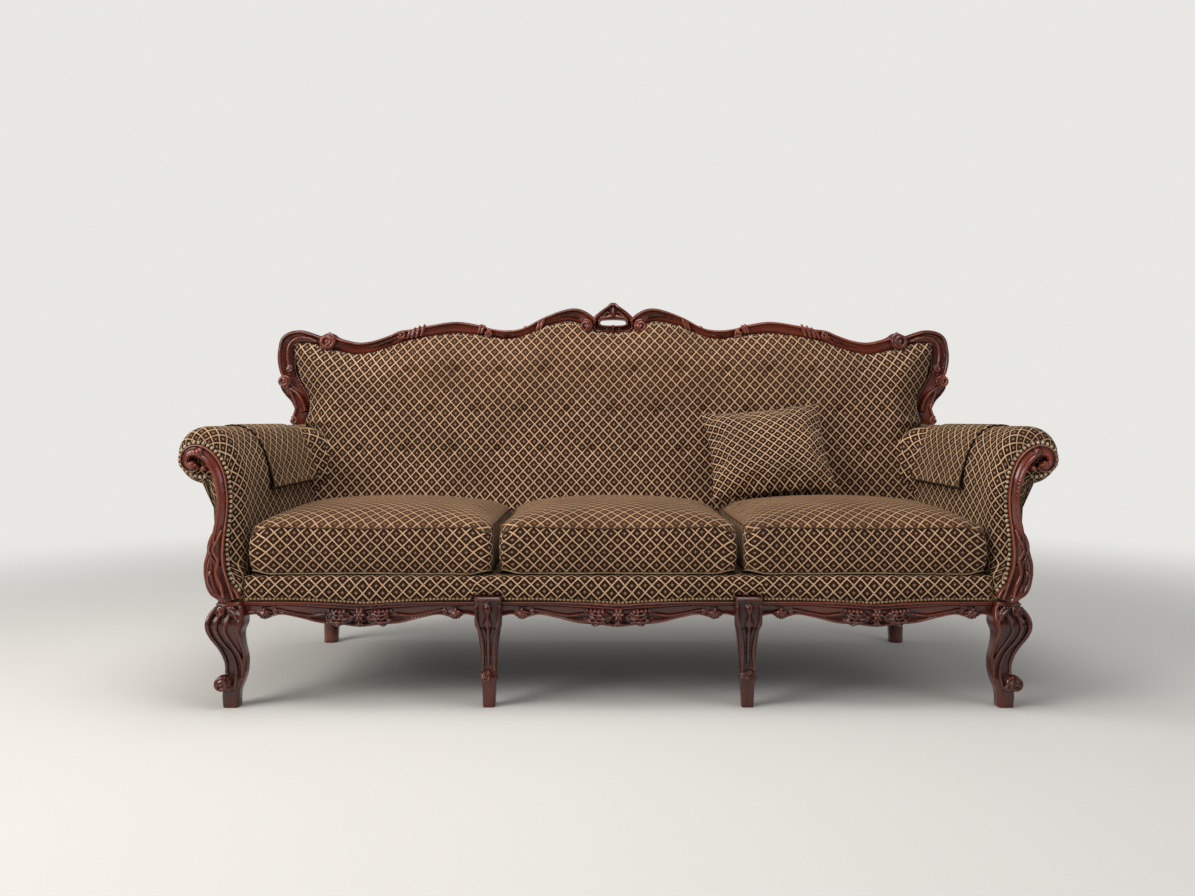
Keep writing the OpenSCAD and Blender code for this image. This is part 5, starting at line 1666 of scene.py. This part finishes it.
@dataclass
class BackFrame:
    """The carved back: two stiles with their ears, a crest in three waves, and a pierced cartouche."""

    width: float = 41.0
    depth: float = 54.0
    # Shares of the half width, of the height above the arms, of the width and of the depth
    crest: Rows = (
        (-0.87, 0.682, 0.8, 0.9), (-0.847, 0.676, 1.12, 1), (-0.815, 0.645, 1.04, 0.95),
        (-0.761, 0.615, 1, 0.9), (-0.713, 0.63, 0.98, 0.9), (-0.663, 0.675, 0.98, 0.92),
        (-0.63, 0.712, 1, 0.96), (-0.594, 0.73, 0.94, 0.92), (-0.546, 0.758, 0.95, 0.92),
        (-0.468, 0.786, 0.97, 0.95), (-0.4, 0.766, 0.84, 0.9), (-0.37, 0.752, 0.64, 0.84),
        (-0.325, 0.724, 0.84, 0.9), (-0.283, 0.734, 0.8, 0.9), (-0.25, 0.765, 0.78, 0.88),
        (-0.202, 0.834, 0.8, 0.92), (-0.146, 0.882, 0.98, 0.98), (-0.112, 0.888, 1.12, 0.98),
        (-0.085, 0.858, 1.14, 0.96), (-0.0605, 0.81, 1.0, 0.92))
    stile: Rows = (
        (-0.9317, 0, 1.04, 0.84), (-0.931, 0.04, 1.12, 0.9), (-0.921, 0.107, 1.22, 0.95),
        (-0.9195, 0.152, 1.26, 0.98), (-0.928, 0.221, 1.24, 0.98), (-0.942, 0.293, 1.12, 0.96),
        (-0.956, 0.373, 1.04, 0.92), (-0.967, 0.44, 1.24, 0.92), (-0.971, 0.533, 1.38, 0.96),
        (-0.9685, 0.613, 1.42, 0.98), (-0.961, 0.675, 1.42, 1), (-0.932, 0.702, 1.24, 1),
        (-0.9, 0.69, 1.02, 0.96), (-0.8706, 0.668, 0.86, 0.9))
    # Outline of the cartouche, as shares of its half width and of its height
    cartouche: Rows = (
        (0, 1), (0.13, 0.985), (0.23, 0.935), (0.31, 0.865), (0.44, 0.8), (0.62, 0.73), (0.86, 0.61),
        (0.99, 0.5), (0.99, 0.3), (0.97, 0.12), (0.74, 0.03), (0.4, 0.0), (0, 0))

    def rows(self, shares: Iterable[Iterable[float]]) -> Array:
        """A moulding's rows in millimetres."""
        p = on_back(shares)
        p[:, 2:4] *= (self.width, self.depth)
        return p

    def crest_rail(self) -> None:
        """Both halves of the crest rail."""
        c, d = Carving(lean), self.depth
        c.moulding(self.rows(self.crest), RAIL_SECTION)
        c.coil(-871, 902, 31, d * 1.16, 80, -1, 1.5)
        c.coil(-645, 923, 15.5, d * 1.06, 200, 1, 1.2)
        c.coil(-382, 927, 15, d * 1.02, 100, -1, 1.2)
        c.coil(-84, 950, 24, d * 1.1, 100, -1, 1.5)
        c.bud(-64, 938, 7, d * 0.84)
        # Slanting flutes where the arches join, each higher than the last
        for x, z, rise in ((-622, 926, 14), (-609, 930, 17), (-595, 934, 18.5), (-580, 938, 18.5),
                           (-406, 943, 14), (-397, 941, 13), (-228, 952, 15), (-217, 957, 16)):
            flute = [np.linspace(x - 6, x + 6, 11), np.linspace(z - rise, z + rise, 11),
                     5.2 * np.sin(np.linspace(0.6, math.pi - 0.6, 11)), np.full(11, d * 0.86)]
            c.roll(np.column_stack(flute))
        # A berry on the rise, and small leaves that run out of the volutes along the hollow
        c.bud(-268, 946, 6.5, d * 0.9)
        c.leaf(((-662, 913, 3, 40), (-686, 903, 6, 44), (-714, 893, 5, 42), (-744, 886, 1, 38)), 2, 0.1, 0.06)
        c.leaf(((-362, 925, 3, 38), (-338, 920, 5, 41), (-312, 920, 4, 40), (-290, 924, 1, 36)), 2, 0.1, 0.06)
        c.leaf(((-104, 976, 4, 44), (-126, 983, 6, 47), (-152, 982, 5, 45), (-180, 973, 1, 40)), 2, 0.1, 0.06)
        pair(c.mesh("crest_rail_carved_left"), WOOD_ACROSS, "crest_rail")

    def stiles(self) -> None:
        """Both stiles, each of two C-scrolls with a knob between them and an ear at the top."""
        c, d = Carving(lean), self.depth
        c.moulding(self.rows(self.stile), RAIL_SECTION)
        # The knob: the lower scroll begins in it, and the upper scroll's end curls over it
        c.moulding(((-1008, 776, 18, 46), (-1001, 764, 25, 50), (-986, 750, 33, 53), (-967, 734, 38, 55),
                    (-953, 712, 40, 55), (-946, 688, 38, 53)), RAIL_SECTION)
        c.coil(-998, 780, 24, d * 1.1, -60, 1, 1.5)
        c.coil(-984, 819, 13, d * 1.04, 120, -1, 1.3)
        c.coil(-969, 662, 15, d * 0.98, 120, -1, 1.2)
        c.vein(((-984, 800, 3.4, 46), (-986, 830, 4.2, 50), (-990, 862, 4.4, 51), (-984, 893, 4.4, 52),
                (-962, 912, 4.2, 52), (-932, 913, 3.8, 51), (-905, 903, 3, 48)))
        pair(c.mesh("back_stile_carved_left"), WOOD_UPRIGHT, "back_stile")

    def crown(self) -> None:
        """The cartouche in the middle of the crest, with its pierced slot."""
        foot = ARM_TOP + 0.742 * (TOP - ARM_TOP)
        rise, half = TOP - foot, 0.0605 * HALF_WIDTH - 0.3
        edge = np.array([(half * x, foot + rise * z) for x, z in self.cartouche])
        edge = np.vstack([edge, edge[-2:0:-1] * (-1, 1)])
        loop = spline(np.vstack([edge, edge[:1]]), 1.5)[:-1]
        middle, d = np.array([0.0, foot + rise * 0.36]), self.depth
        way = np.arctan2(loop[:, 1] - middle[1], loop[:, 0])
        # The slot is a long round-ended hole, and the rim swells round it
        c, s = np.cos(way), np.sin(way)
        slot = np.column_stack([c * 13 + np.sign(c) * 27 * np.minimum(1, np.abs(c) * 1.6), s * 9.4]) + middle
        c = Carving(lean)
        shares = ((0, 0.0), (0, 0.5), (0.06, 0.66), (0.16, 0.72), (0.3, 0.62), (0.45, 0.56), (0.6, 0.62),
                  (0.74, 0.8), (0.86, 0.86), (0.95, 0.76), (1, 0.55), (1, 0.0))
        rings = np.array([np.column_stack([loop + (slot - loop) * share, np.full(len(loop), proud * d)])
                          for share, proud in shares])
        c.shape.tube(c.place(rings.transpose(1, 0, 2)[np.r_[np.arange(len(loop)), 0]]))
        # A long bead hangs from the peak, and two smooth leaves slope down from it like a roof
        c.bud(0, 994, 10.0, d * 1.02, 1.9, 90)
        c.bud(0, 1016, 7.5, d * 0.9)
        for k in (-2, -1, 1, 2):
            rows = ((6, 946, 3, 34), (11, 938, 5, 40), (17, 936, 5, 39), (24, 941, 1, 34))
            c.leaf([(k * x, *rest) for x, *rest in rows], 2)
        c.leaf(((0, 956, 3, 36), (0, 947, 7, 43), (0, 937, 6, 42), (0, 929, 1, 36)), 2)
        for way_x in (-1, 1):
            c.vein(((way_x * 6, 1018, 3.4, 42), (way_x * 17, 1008, 4.4, 46), (way_x * 31, 997, 4.8, 47),
                    (way_x * 46, 985, 4.8, 46), (way_x * 57, 972, 4.2, 44), (way_x * 58, 956, 3.4, 42)))
            c.vein(((way_x * 15, 996, 2.4, 38), (way_x * 28, 986, 3.2, 41), (way_x * 42, 976, 2.4, 40)))
        piece(c.mesh("crest_cartouche_pierced", 1.3), WOOD_ACROSS, "frame", "carved_mahogany",
              "crest_cartouche")

    def build(self) -> None:
        """Builds the carved back."""
        self.crest_rail()
        self.stiles()
        self.crown()


@dataclass
class ArmPost:
    """The carved upright at the front of an arm, which curls into a volute on the roll's face."""

    depth: float = 26.0
    # X, height, width and depth
    rows: Rows = tuple(
        (HALF_WIDTH * x, RAIL_LOW + z * (ARM_TOP - RAIL_LOW), 28.56 * w, 26.0) for x, z, w in (
            (-0.873, 0, 1.8), (-0.878, 0.03, 1.76), (-0.894, 0.078, 1.72), (-0.902, 0.149, 1.66),
            (-0.904, 0.238, 1.44), (-0.902, 0.31, 1.2), (-0.897, 0.403, 1.02), (-0.891, 0.49, 0.94),
            (-0.889, 0.587, 0.92), (-0.892, 0.65, 0.98), (-0.897, 0.713, 1.04), (-0.909, 0.782, 1.1),
            (-0.927, 0.834, 1.12), (-0.95, 0.859, 1.04), (-0.969, 0.838, 0.92), (-0.972, 0.79, 0.78),
            (-0.959, 0.757, 0.64), (-0.944, 0.774, 0.5)))

    def build(self) -> None:
        """Carves both posts."""
        c, d = Carving(lambda z: np.full_like(z, POST_BACK)), self.depth
        c.moulding(self.rows, POST_SECTION, 1.6)
        c.bud(-964, 589, 11.5, d * 1.12)
        c.bud(-981, 561, 10.0, d * 1.06)
        c.bud(-954, 553, 6.6, d * 0.98)
        # Two long leaves flow up the outer side, with a rolled rim and an S-shaped vein between them
        c.leaf(((-916, 328, 4, 21), (-931, 346, 9, 26), (-938, 370, 9, 27), (-933, 394, 6, 25),
                (-926, 416, 1, 20)), 2, 0.12, 0.08)
        c.leaf(((-914, 254, 6, 21), (-930, 270, 10, 26), (-940, 296, 12, 28), (-941, 326, 11, 27),
                (-935, 352, 7, 25), (-928, 372, 1, 20)), 3, 0.12, 0.08)
        c.vein(((-912, 250, 3, 22), (-934, 266, 3.6, 24), (-944, 292, 3.8, 25), (-947, 328, 3.8, 25),
                (-941, 358, 3.6, 24), (-934, 384, 3.2, 23), (-927, 412, 2, 20)))
        c.vein(((-905, 256, 3, 26), (-911, 284, 3.6, 28), (-922, 312, 3.6, 28), (-918, 342, 3.4, 28),
                (-929, 366, 3.2, 27), (-919, 390, 3, 26), (-911, 412, 2, 23)))
        c.vein(((-884, 250, 2.4, 20), (-896, 290, 2.6, 23), (-907, 330, 2.6, 24), (-908, 372, 2.6, 24),
                (-903, 420, 2.2, 23)))
        c.bud(-936, 312, 5, 30, 1.8, 80)
        pair(c.mesh("arm_post_carved_left", 1.5), WOOD_UPRIGHT, "arm_post")


@dataclass
class Leg:
    """A carved leg: levels of height, X, Y and two widths, and the ornament on its front."""

    levels: Rows
    square: float = 5.0
    sides: int = 40

    def line(self) -> Array:
        """The levels, smoothed, in small steps."""
        return spline(self.levels, 2.0, 1)

    def front(self, z: Array) -> Array:
        """Depth of the leg's front face at a height."""
        line = self.line()
        return np.interp(z, line[:, 0], line[:, 2] - line[:, 4] / 2)

    def body(self, shape: Shape) -> None:
        """Adds the leg itself, with soft corners."""
        line, a = self.line(), circle(self.sides)
        q = (np.abs(np.cos(a)) ** self.square + np.abs(np.sin(a)) ** self.square) ** (-1 / self.square)
        u, v = np.cos(a) * q, np.sin(a) * q
        shape.tube(np.stack([line[:, 1:2] + u * line[:, 3:4] / 2, line[:, 2:3] + v * line[:, 4:5] / 2,
                             line[:, :1] * np.ones_like(u)], -1))


@dataclass
class Legs:
    """All six legs: cabriole at the front corners, straighter in the middle, plain at the rear."""

    foot: float = 37.0
    front_y: float = 385.0
    # Shares of the height, of the half width, of front_y, and of foot for the widths in X and in Y
    corner: Rows = (
        (0, -0.873, 1, 1, 1), (0.14, -0.873, 1, 1.08, 1.08), (0.24, -0.866, 0.998, 1.14, 1.2),
        (0.34, -0.861, 0.99, 1.16, 1.16), (0.46, -0.864, 0.985, 1.3, 1.24),
        (0.58, -0.872, 0.997, 1.46, 1.44), (0.7, -0.881, 1.015, 1.9, 1.8), (0.8, -0.879, 1.02, 2.25, 1.96),
        (0.9, -0.873, 1.022, 1.82, 1.5), (1, -0.873, 1.021, 1.5, 1.32))
    # The same without the half width
    between: Rows = (
        (0, 1, 0.78, 0.8), (0.2, 1, 0.9, 0.92), (0.28, 1.008, 1.16, 1.2), (0.34, 1.002, 0.98, 1.0),
        (0.5, 0.996, 1.06, 1.02), (0.72, 1.004, 1.42, 1.3), (0.8, 1.054, 1.7, 0.86), (1, 1.054, 1.72, 0.86),
        (1.05, 1.054, 1.76, 0.86))
    # The rear legs: X and Y of the foot, its width, how far the top stands behind it and how it widens
    rear_place: tuple[float, float] = (-845.0, 323.0)
    rear_foot: float = 38.0
    rear_rake: float = 13.7
    rear_taper: float = 0.3

    def corner_legs(self) -> None:
        """The two front legs."""
        w = self.foot
        leg = Leg(tuple((z * RAIL_LOW, x * HALF_WIDTH, -y * self.front_y, a * w, b * w)
                        for z, x, y, a, b in self.corner))
        c = Carving(lambda z: leg.front(z) + 5)
        leg.body(c.shape)
        # The foot's scroll, with a smaller ball inside its turn
        c.coil(-908, 58, 20.5, 27, 60, 1, 1.4)
        c.bud(-894, 47, 8.5, 17)
        # Four ridges run down in one S from the knee to the foot
        for ridge in (
                ((-920, 236, 4, 7), (-934, 214, 5.5, 8), (-937, 190, 5.5, 8), (-930, 166, 5, 8),
                 (-913, 134, 4.4, 8), (-903, 104, 4, 8), (-902, 80, 3.4, 8)),
                ((-901, 240, 4, 9), (-913, 214, 5, 10), (-918, 186, 5, 10), (-908, 156, 4.6, 9),
                 (-892, 130, 4.2, 8), (-881, 100, 4, 8), (-879, 74, 3.8, 8), (-884, 44, 3.2, 7)),
                ((-884, 240, 4, 9), (-890, 212, 4.6, 10), (-898, 184, 4.6, 10), (-888, 154, 4.2, 9),
                 (-875, 126, 4, 8), (-866, 98, 3.8, 7.5), (-865, 66, 3.4, 7)),
                ((-866, 238, 4, 7), (-863, 212, 5, 8), (-869, 184, 4.6, 8), (-865, 154, 4, 7),
                 (-861, 124, 3.4, 6.5), (-863, 92, 3, 6))):
            c.vein(ridge)
        # A scrolled collar where the post stands on the knee
        c.coil(-910, 227, 13, 17, 60, -1, 1.3)
        c.leaf(((-896, 238, 6, 12), (-884, 228, 9, 16), (-872, 216, 8, 15), (-862, 200, 1, 9)), 2, 0.12, 0.1)
        c.vein(((-921, 243, 3, 8), (-895, 240, 3.4, 10), (-868, 243, 3, 8)))
        pair(c.mesh("front_leg_carved_left", 1.5), WOOD_LEG_SHADED, "front_leg")

    def middle_legs(self) -> None:
        """The two middle legs, each under a block with a long boss."""
        w, x = self.foot, -MIDDLE_LEG_X
        leg = Leg(tuple((z * RAIL_LOW, x, -y * self.front_y, a * w, b * w) for z, y, a, b in self.between))
        c = Carving(lambda z: leg.front(z) + 4)
        leg.body(c.shape)
        # A long boss on the block between two berries, and a leaf that falls from it
        c.bud(x, 232, 9.0, 14.5, 1.3, 90)
        c.bud(x, 249, 3.6, 9)
        c.bud(x, 216, 4.2, 10)
        c.roll(np.column_stack([np.linspace(x - 30, x + 30, 12), np.full(12, 253), np.full(12, 2.8),
                                np.full(12, 5.5)]))
        c.leaf(((x, 212, 6, 8), (x, 197, 9, 10), (x, 180, 6, 9), (x, 164, 1, 7)), 2, 0.1, 0.08)
        c.bud(x, 74, 10, 11)
        c.coil(x - 4, 74, 13.5, 14, 90, 1, 1.3)
        # Long flutes between three ridges, from the block to the scroll
        for way, low in ((-1, 88), (0, 100), (1, 88)):
            c.vein(((x + way * 27, 240, 3.4, 6), (x + way * 25, 208, 3.8, 8), (x + way * 18, 176, 4.0, 9),
                    (x + way * 13, 148, 3.8, 8.5), (x + way * 12, 122, 3.4, 8), (x + way * 14, low, 2.8, 7)))
        pair(c.mesh("middle_leg_carved_left", 1.5), WOOD_LEG_SHADED, "middle_leg")

    def rear_legs(self) -> None:
        """The two plain rear legs, tapered and raked, with their corners taken off."""
        rows = []
        for share in np.linspace(0, 1, 12):
            half = self.rear_foot * (1 + self.rear_taper * share) * 0.56
            a = np.radians([90 * k + c for k in range(4) for c in (22, 28, 62, 68)])
            x, y = self.rear_place
            rows.append(np.column_stack([x + half * np.cos(a), y + self.rear_rake * share + half * np.sin(a),
                                         np.full(16, RAIL_LOW * share)]))
        shape = Shape().tube(np.array(rows))
        pair(shape.mesh("rear_leg_tapered_left"), WOOD_LEG_SHADED, "rear_leg")

    def build(self) -> None:
        """Carves all the legs."""
        self.corner_legs()
        self.middle_legs()
        self.rear_legs()


@dataclass
class Aprons:
    """The three carved boards under the seat."""

    drop: float = 60.0
    thick: float = 28.0
    back: float = -380.0
    # Shares of the bay's width and of the drop
    edge: Rows = (
        (0, 0.58), (0.05, 0.52), (0.086, 0.7), (0.12, 0.6), (0.164, 0.53), (0.24, 0.66), (0.327, 0.85),
        (0.42, 0.92), (0.5, 1), (0.58, 0.92), (0.673, 0.85), (0.76, 0.66), (0.836, 0.53), (0.88, 0.6),
        (0.914, 0.7), (0.95, 0.52), (1, 0.58))
    top: Rows = ((0, 0), (0.2, 0), (0.35, 0.03), (0.5, 0.1), (0.65, 0.03), (0.8, 0), (1, 0))
    # The board's face from its lower to its upper edge: share of the height and of the thickness
    face: Rows = (
        (0, 0.62), (0.02, 0.8), (0.06, 0.9), (0.11, 0.88), (0.15, 0.74), (0.2, 0.66), (0.35, 0.62),
        (0.55, 0.64), (0.7, 0.7), (0.74, 0.78), (0.77, 0.92), (0.81, 0.97), (0.85, 0.92), (0.87, 0.86),
        (0.9, 0.9), (0.92, 1), (0.97, 1), (1, 0.86))

    def board(self, name: str, low_x: float, high_x: float) -> bpy.types.Mesh:
        """One apron.

        Args:
            name: the mesh's name.
            low_x: its left end.
            high_x: its right end.

        Returns:
            The carved board.
        """
        wide = high_x - low_x
        edge, top = spline(self.edge, 0.01), spline(self.top, 0.01)
        s = np.linspace(0, 1, round(wide / 1.8))
        low = RAIL_LOW - self.drop * np.interp(s, edge[:, 0], edge[:, 1])
        high = RAIL_LOW - self.drop * np.maximum(0, np.interp(s, top[:, 0], top[:, 1]))
        v, p = (np.array(self.face)[:, k] for k in (0, 1))
        x = (low_x + s * wide)[:, None] * np.ones_like(v)
        z = low[:, None] + (high - low)[:, None] * v
        c = Carving(lambda z: np.full_like(z, self.back))
        proud = np.ones_like(x) * p * self.thick
        c.shape.shell(c.place(np.stack([x, z, proud], -1)), c.place(np.stack([x, z, np.zeros_like(x)], -1)),
                      np.zeros((*x.shape, 3)))

        def at(share: float, drop: float) -> tuple[float, float]:
            """X and height of a place on the board, from its shares of the width and of the drop."""
            return low_x + share * wide, RAIL_LOW - drop * self.drop

        for share in (0.086, 0.914):
            c.shell_fan(*at(share, 0.3), 22, 31)
        for way in (-1, 1):
            hx, _ = at(0.5, 0)
            # Small scrolls flow from the shells to the cluster in the middle
            c.vein([(*at(0.5 + way * 0.36, 0.34), 2.4, 19), (*at(0.5 + way * 0.3, 0.44), 2.6, 20),
                    (*at(0.5 + way * 0.22, 0.56), 2.8, 20), (*at(0.5 + way * 0.15, 0.5), 3, 21)])
            c.coil(*at(0.5 + way * 0.37, 0.38), 7, 23, 90, way, 1.1)
            for share, drop, reach in ((0.02, 0.6, 62), (0.05, 0.72, 52), (0.045, 0.46, 46)):
                bx, bz = at(0.5 + way * share, drop)
                rows = ((0, 0, 4, 23), (0.35, -4, 10, 32), (0.7, -3, 8, 31), (1, 5, 1, 22))
                c.leaf([(bx + way * reach * out, bz + up, *rest) for out, up, *rest in rows], 3, 0.3, 0.16)
            for k in range(5):
                z = RAIL_LOW - self.drop * (0.4 - 0.012 * k)
                c.bud(hx + way * (36 + 9 * k), z, 5.6 - 0.4 * k, 33 - k)
        hx, hz = at(0.5, 0.5)
        for k in range(6):
            turn = 60 * k
            across, up = 8 * math.cos(math.radians(turn)), 8 * math.sin(math.radians(turn))
            c.bud(hx + across, hz + up, 4.8, 36, 1.5, turn)
        c.bud(hx, hz, 5.0, 39)
        rows = ((6, 5, 24), (16, 11, 33), (24, 8, 31), (30, 1, 22))
        c.leaf([(hx, hz - down, *rest) for down, *rest in rows], 2, 0.3, 0.16)
        return c.mesh(name, 1.5)

    def build(self) -> None:
        """Carves the three boards between the legs."""
        end, block = HALF_WIDTH * 0.873 - 33, 30
        side = self.board("apron_carved_left", -end, -MIDDLE_LEG_X - block)
        pair(side, WOOD_APRON_SHADED, "apron")
        middle = self.board("apron_carved_center", -MIDDLE_LEG_X + block, MIDDLE_LEG_X - block)
        piece(middle, WOOD_APRON_SHADED, "frame", "carved_mahogany", "apron_center")


# ---- Studio


@dataclass
class Studio:
    """A pale floor and surround, with soft lamps at the left, above and, weaker, at the right."""

    eye: tuple[float, float, float] = (-0.048, -2.816, 0.664)
    lens: float = 31.54
    shift: float = -28 / 1195
    surround: str = "#e8e7e4"
    # How bright the surround is as a light, and as the lacquer mirrors it
    fill: float = 0.52
    mirrored: float = 0.1
    floor_reach: float = 30.0
    # Name, place, aim, size, watts and tint of each lamp
    lamps: tuple[tuple, ...] = (
        ("lamp_left", (-3.0, -2.2, 2.4), (0, 0, 0.5), (2.2, 1.6), 122, "#fffaf4"),
        ("lamp_right", (3.0, -2.4, 1.9), (0, 0, 0.5), (1.8, 1.6), 22, "#f4f6ff"),
        ("lamp_top", (-0.3, -0.3, 3.2), (0, 0.1, 0.5), (3.0, 1.4), 74, "#fffdfb"))

    def camera(self) -> None:
        """Stands the camera straight on, level, a little over the arms."""
        data = bpy.data.cameras.new("camera")
        data.lens, data.sensor_width, data.shift_y = self.lens, 36.0, self.shift
        made = bpy.data.objects.new("camera", data)
        made.location, made.rotation_euler = self.eye, (math.pi / 2, 0, 0)
        bpy.context.scene.collection.objects.link(made)
        bpy.context.scene.camera = made

    def lamp(self, name: str, place: tuple[float, float, float], aim: tuple[float, float, float],
             size: tuple[float, float], watts: float, tint: str) -> bpy.types.Object:
        """An area lamp.

        Args:
            name: the lamp's name.
            place: where it hangs.
            aim: what it points at.
            size: its width and height.
            watts: its power.
            tint: its colour.

        Returns:
            The lamp.
        """
        data = bpy.data.lights.new(name, "AREA")
        data.shape, data.size, data.size_y = "RECTANGLE", *size
        data.energy, data.color = watts, linear(tint)[:3]
        made = bpy.data.objects.new(name, data)
        made.location = place
        made.rotation_euler = (Vector(aim) - Vector(place)).to_track_quat("-Z", "Y").to_euler()
        bpy.context.scene.collection.objects.link(made)
        return made

    def world(self) -> None:
        """An even surround that lights softly and shows pale to the camera."""
        world = bpy.data.worlds.new("surround")
        world.use_nodes = True
        world.node_tree.nodes.clear()
        nodes = Nodes(world.node_tree)
        ray = nodes.put("LightPath").outputs
        strength = nodes.sums("MULTIPLY_ADD", ray["Is Camera Ray"], 1 - self.fill, self.fill)
        # Lacquer mirrors the lamps, and only a dim room round them
        strength = nodes.sums("MULTIPLY_ADD", ray["Is Glossy Ray"], self.mirrored - self.fill, strength)
        back = nodes.put("Background", {"Color": self.surround, "Strength": strength})
        nodes.put("OutputWorld", {"Surface": back.outputs[0]})
        bpy.context.scene.world = world
        bpy.context.scene.view_settings.view_transform = "Standard"

    def build(self) -> None:
        """Sets up the camera, the lamps and the floor."""
        self.camera()
        self.world()
        floor = bpy.data.meshes.new("floor")
        reach = self.floor_reach
        corners = [(x * reach, y * reach, 0) for x, y in ((-1, -1), (1, -1), (1, 1), (-1, 1))]
        floor.from_pydata(corners, [], [(0, 1, 2, 3)])
        floor.materials.append(FLOOR_PAINT.material())
        ground = bpy.data.objects.new("floor", floor)
        bpy.context.scene.collection.objects.link(ground)
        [self.lamp(*row) for row in self.lamps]


def dress_hidden_frame() -> None:
    """Gives the rails, blocks and screws that stay as they were drawn their own wood and metal."""
    for made in bpy.context.scene.objects:
        for slot in made.material_slots if made.type == "MESH" else ():
            name = slot.material.name if slot.material else ""
            if name.startswith("frame_beech"):
                slot.material = BEECH.material()
            elif name.startswith("screw_steel"):
                slot.material = ZINC.material()


def main() -> None:
    """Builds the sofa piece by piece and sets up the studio."""
    logging.basicConfig(level=logging.INFO, format="%(message)s")
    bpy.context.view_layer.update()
    dress_hidden_frame()
    for part in (BackFrame(), ArmPost(), Legs(), Aprons(), SeatUpholstery(), BackUpholstery(),
                 ArmUpholstery(), SeatCushion("left"), SeatCushion("center"), SeatCushion("right"),
                 ThrowPillow(), Studio()):
        part.build()


if __name__ == "__main__":
    main()
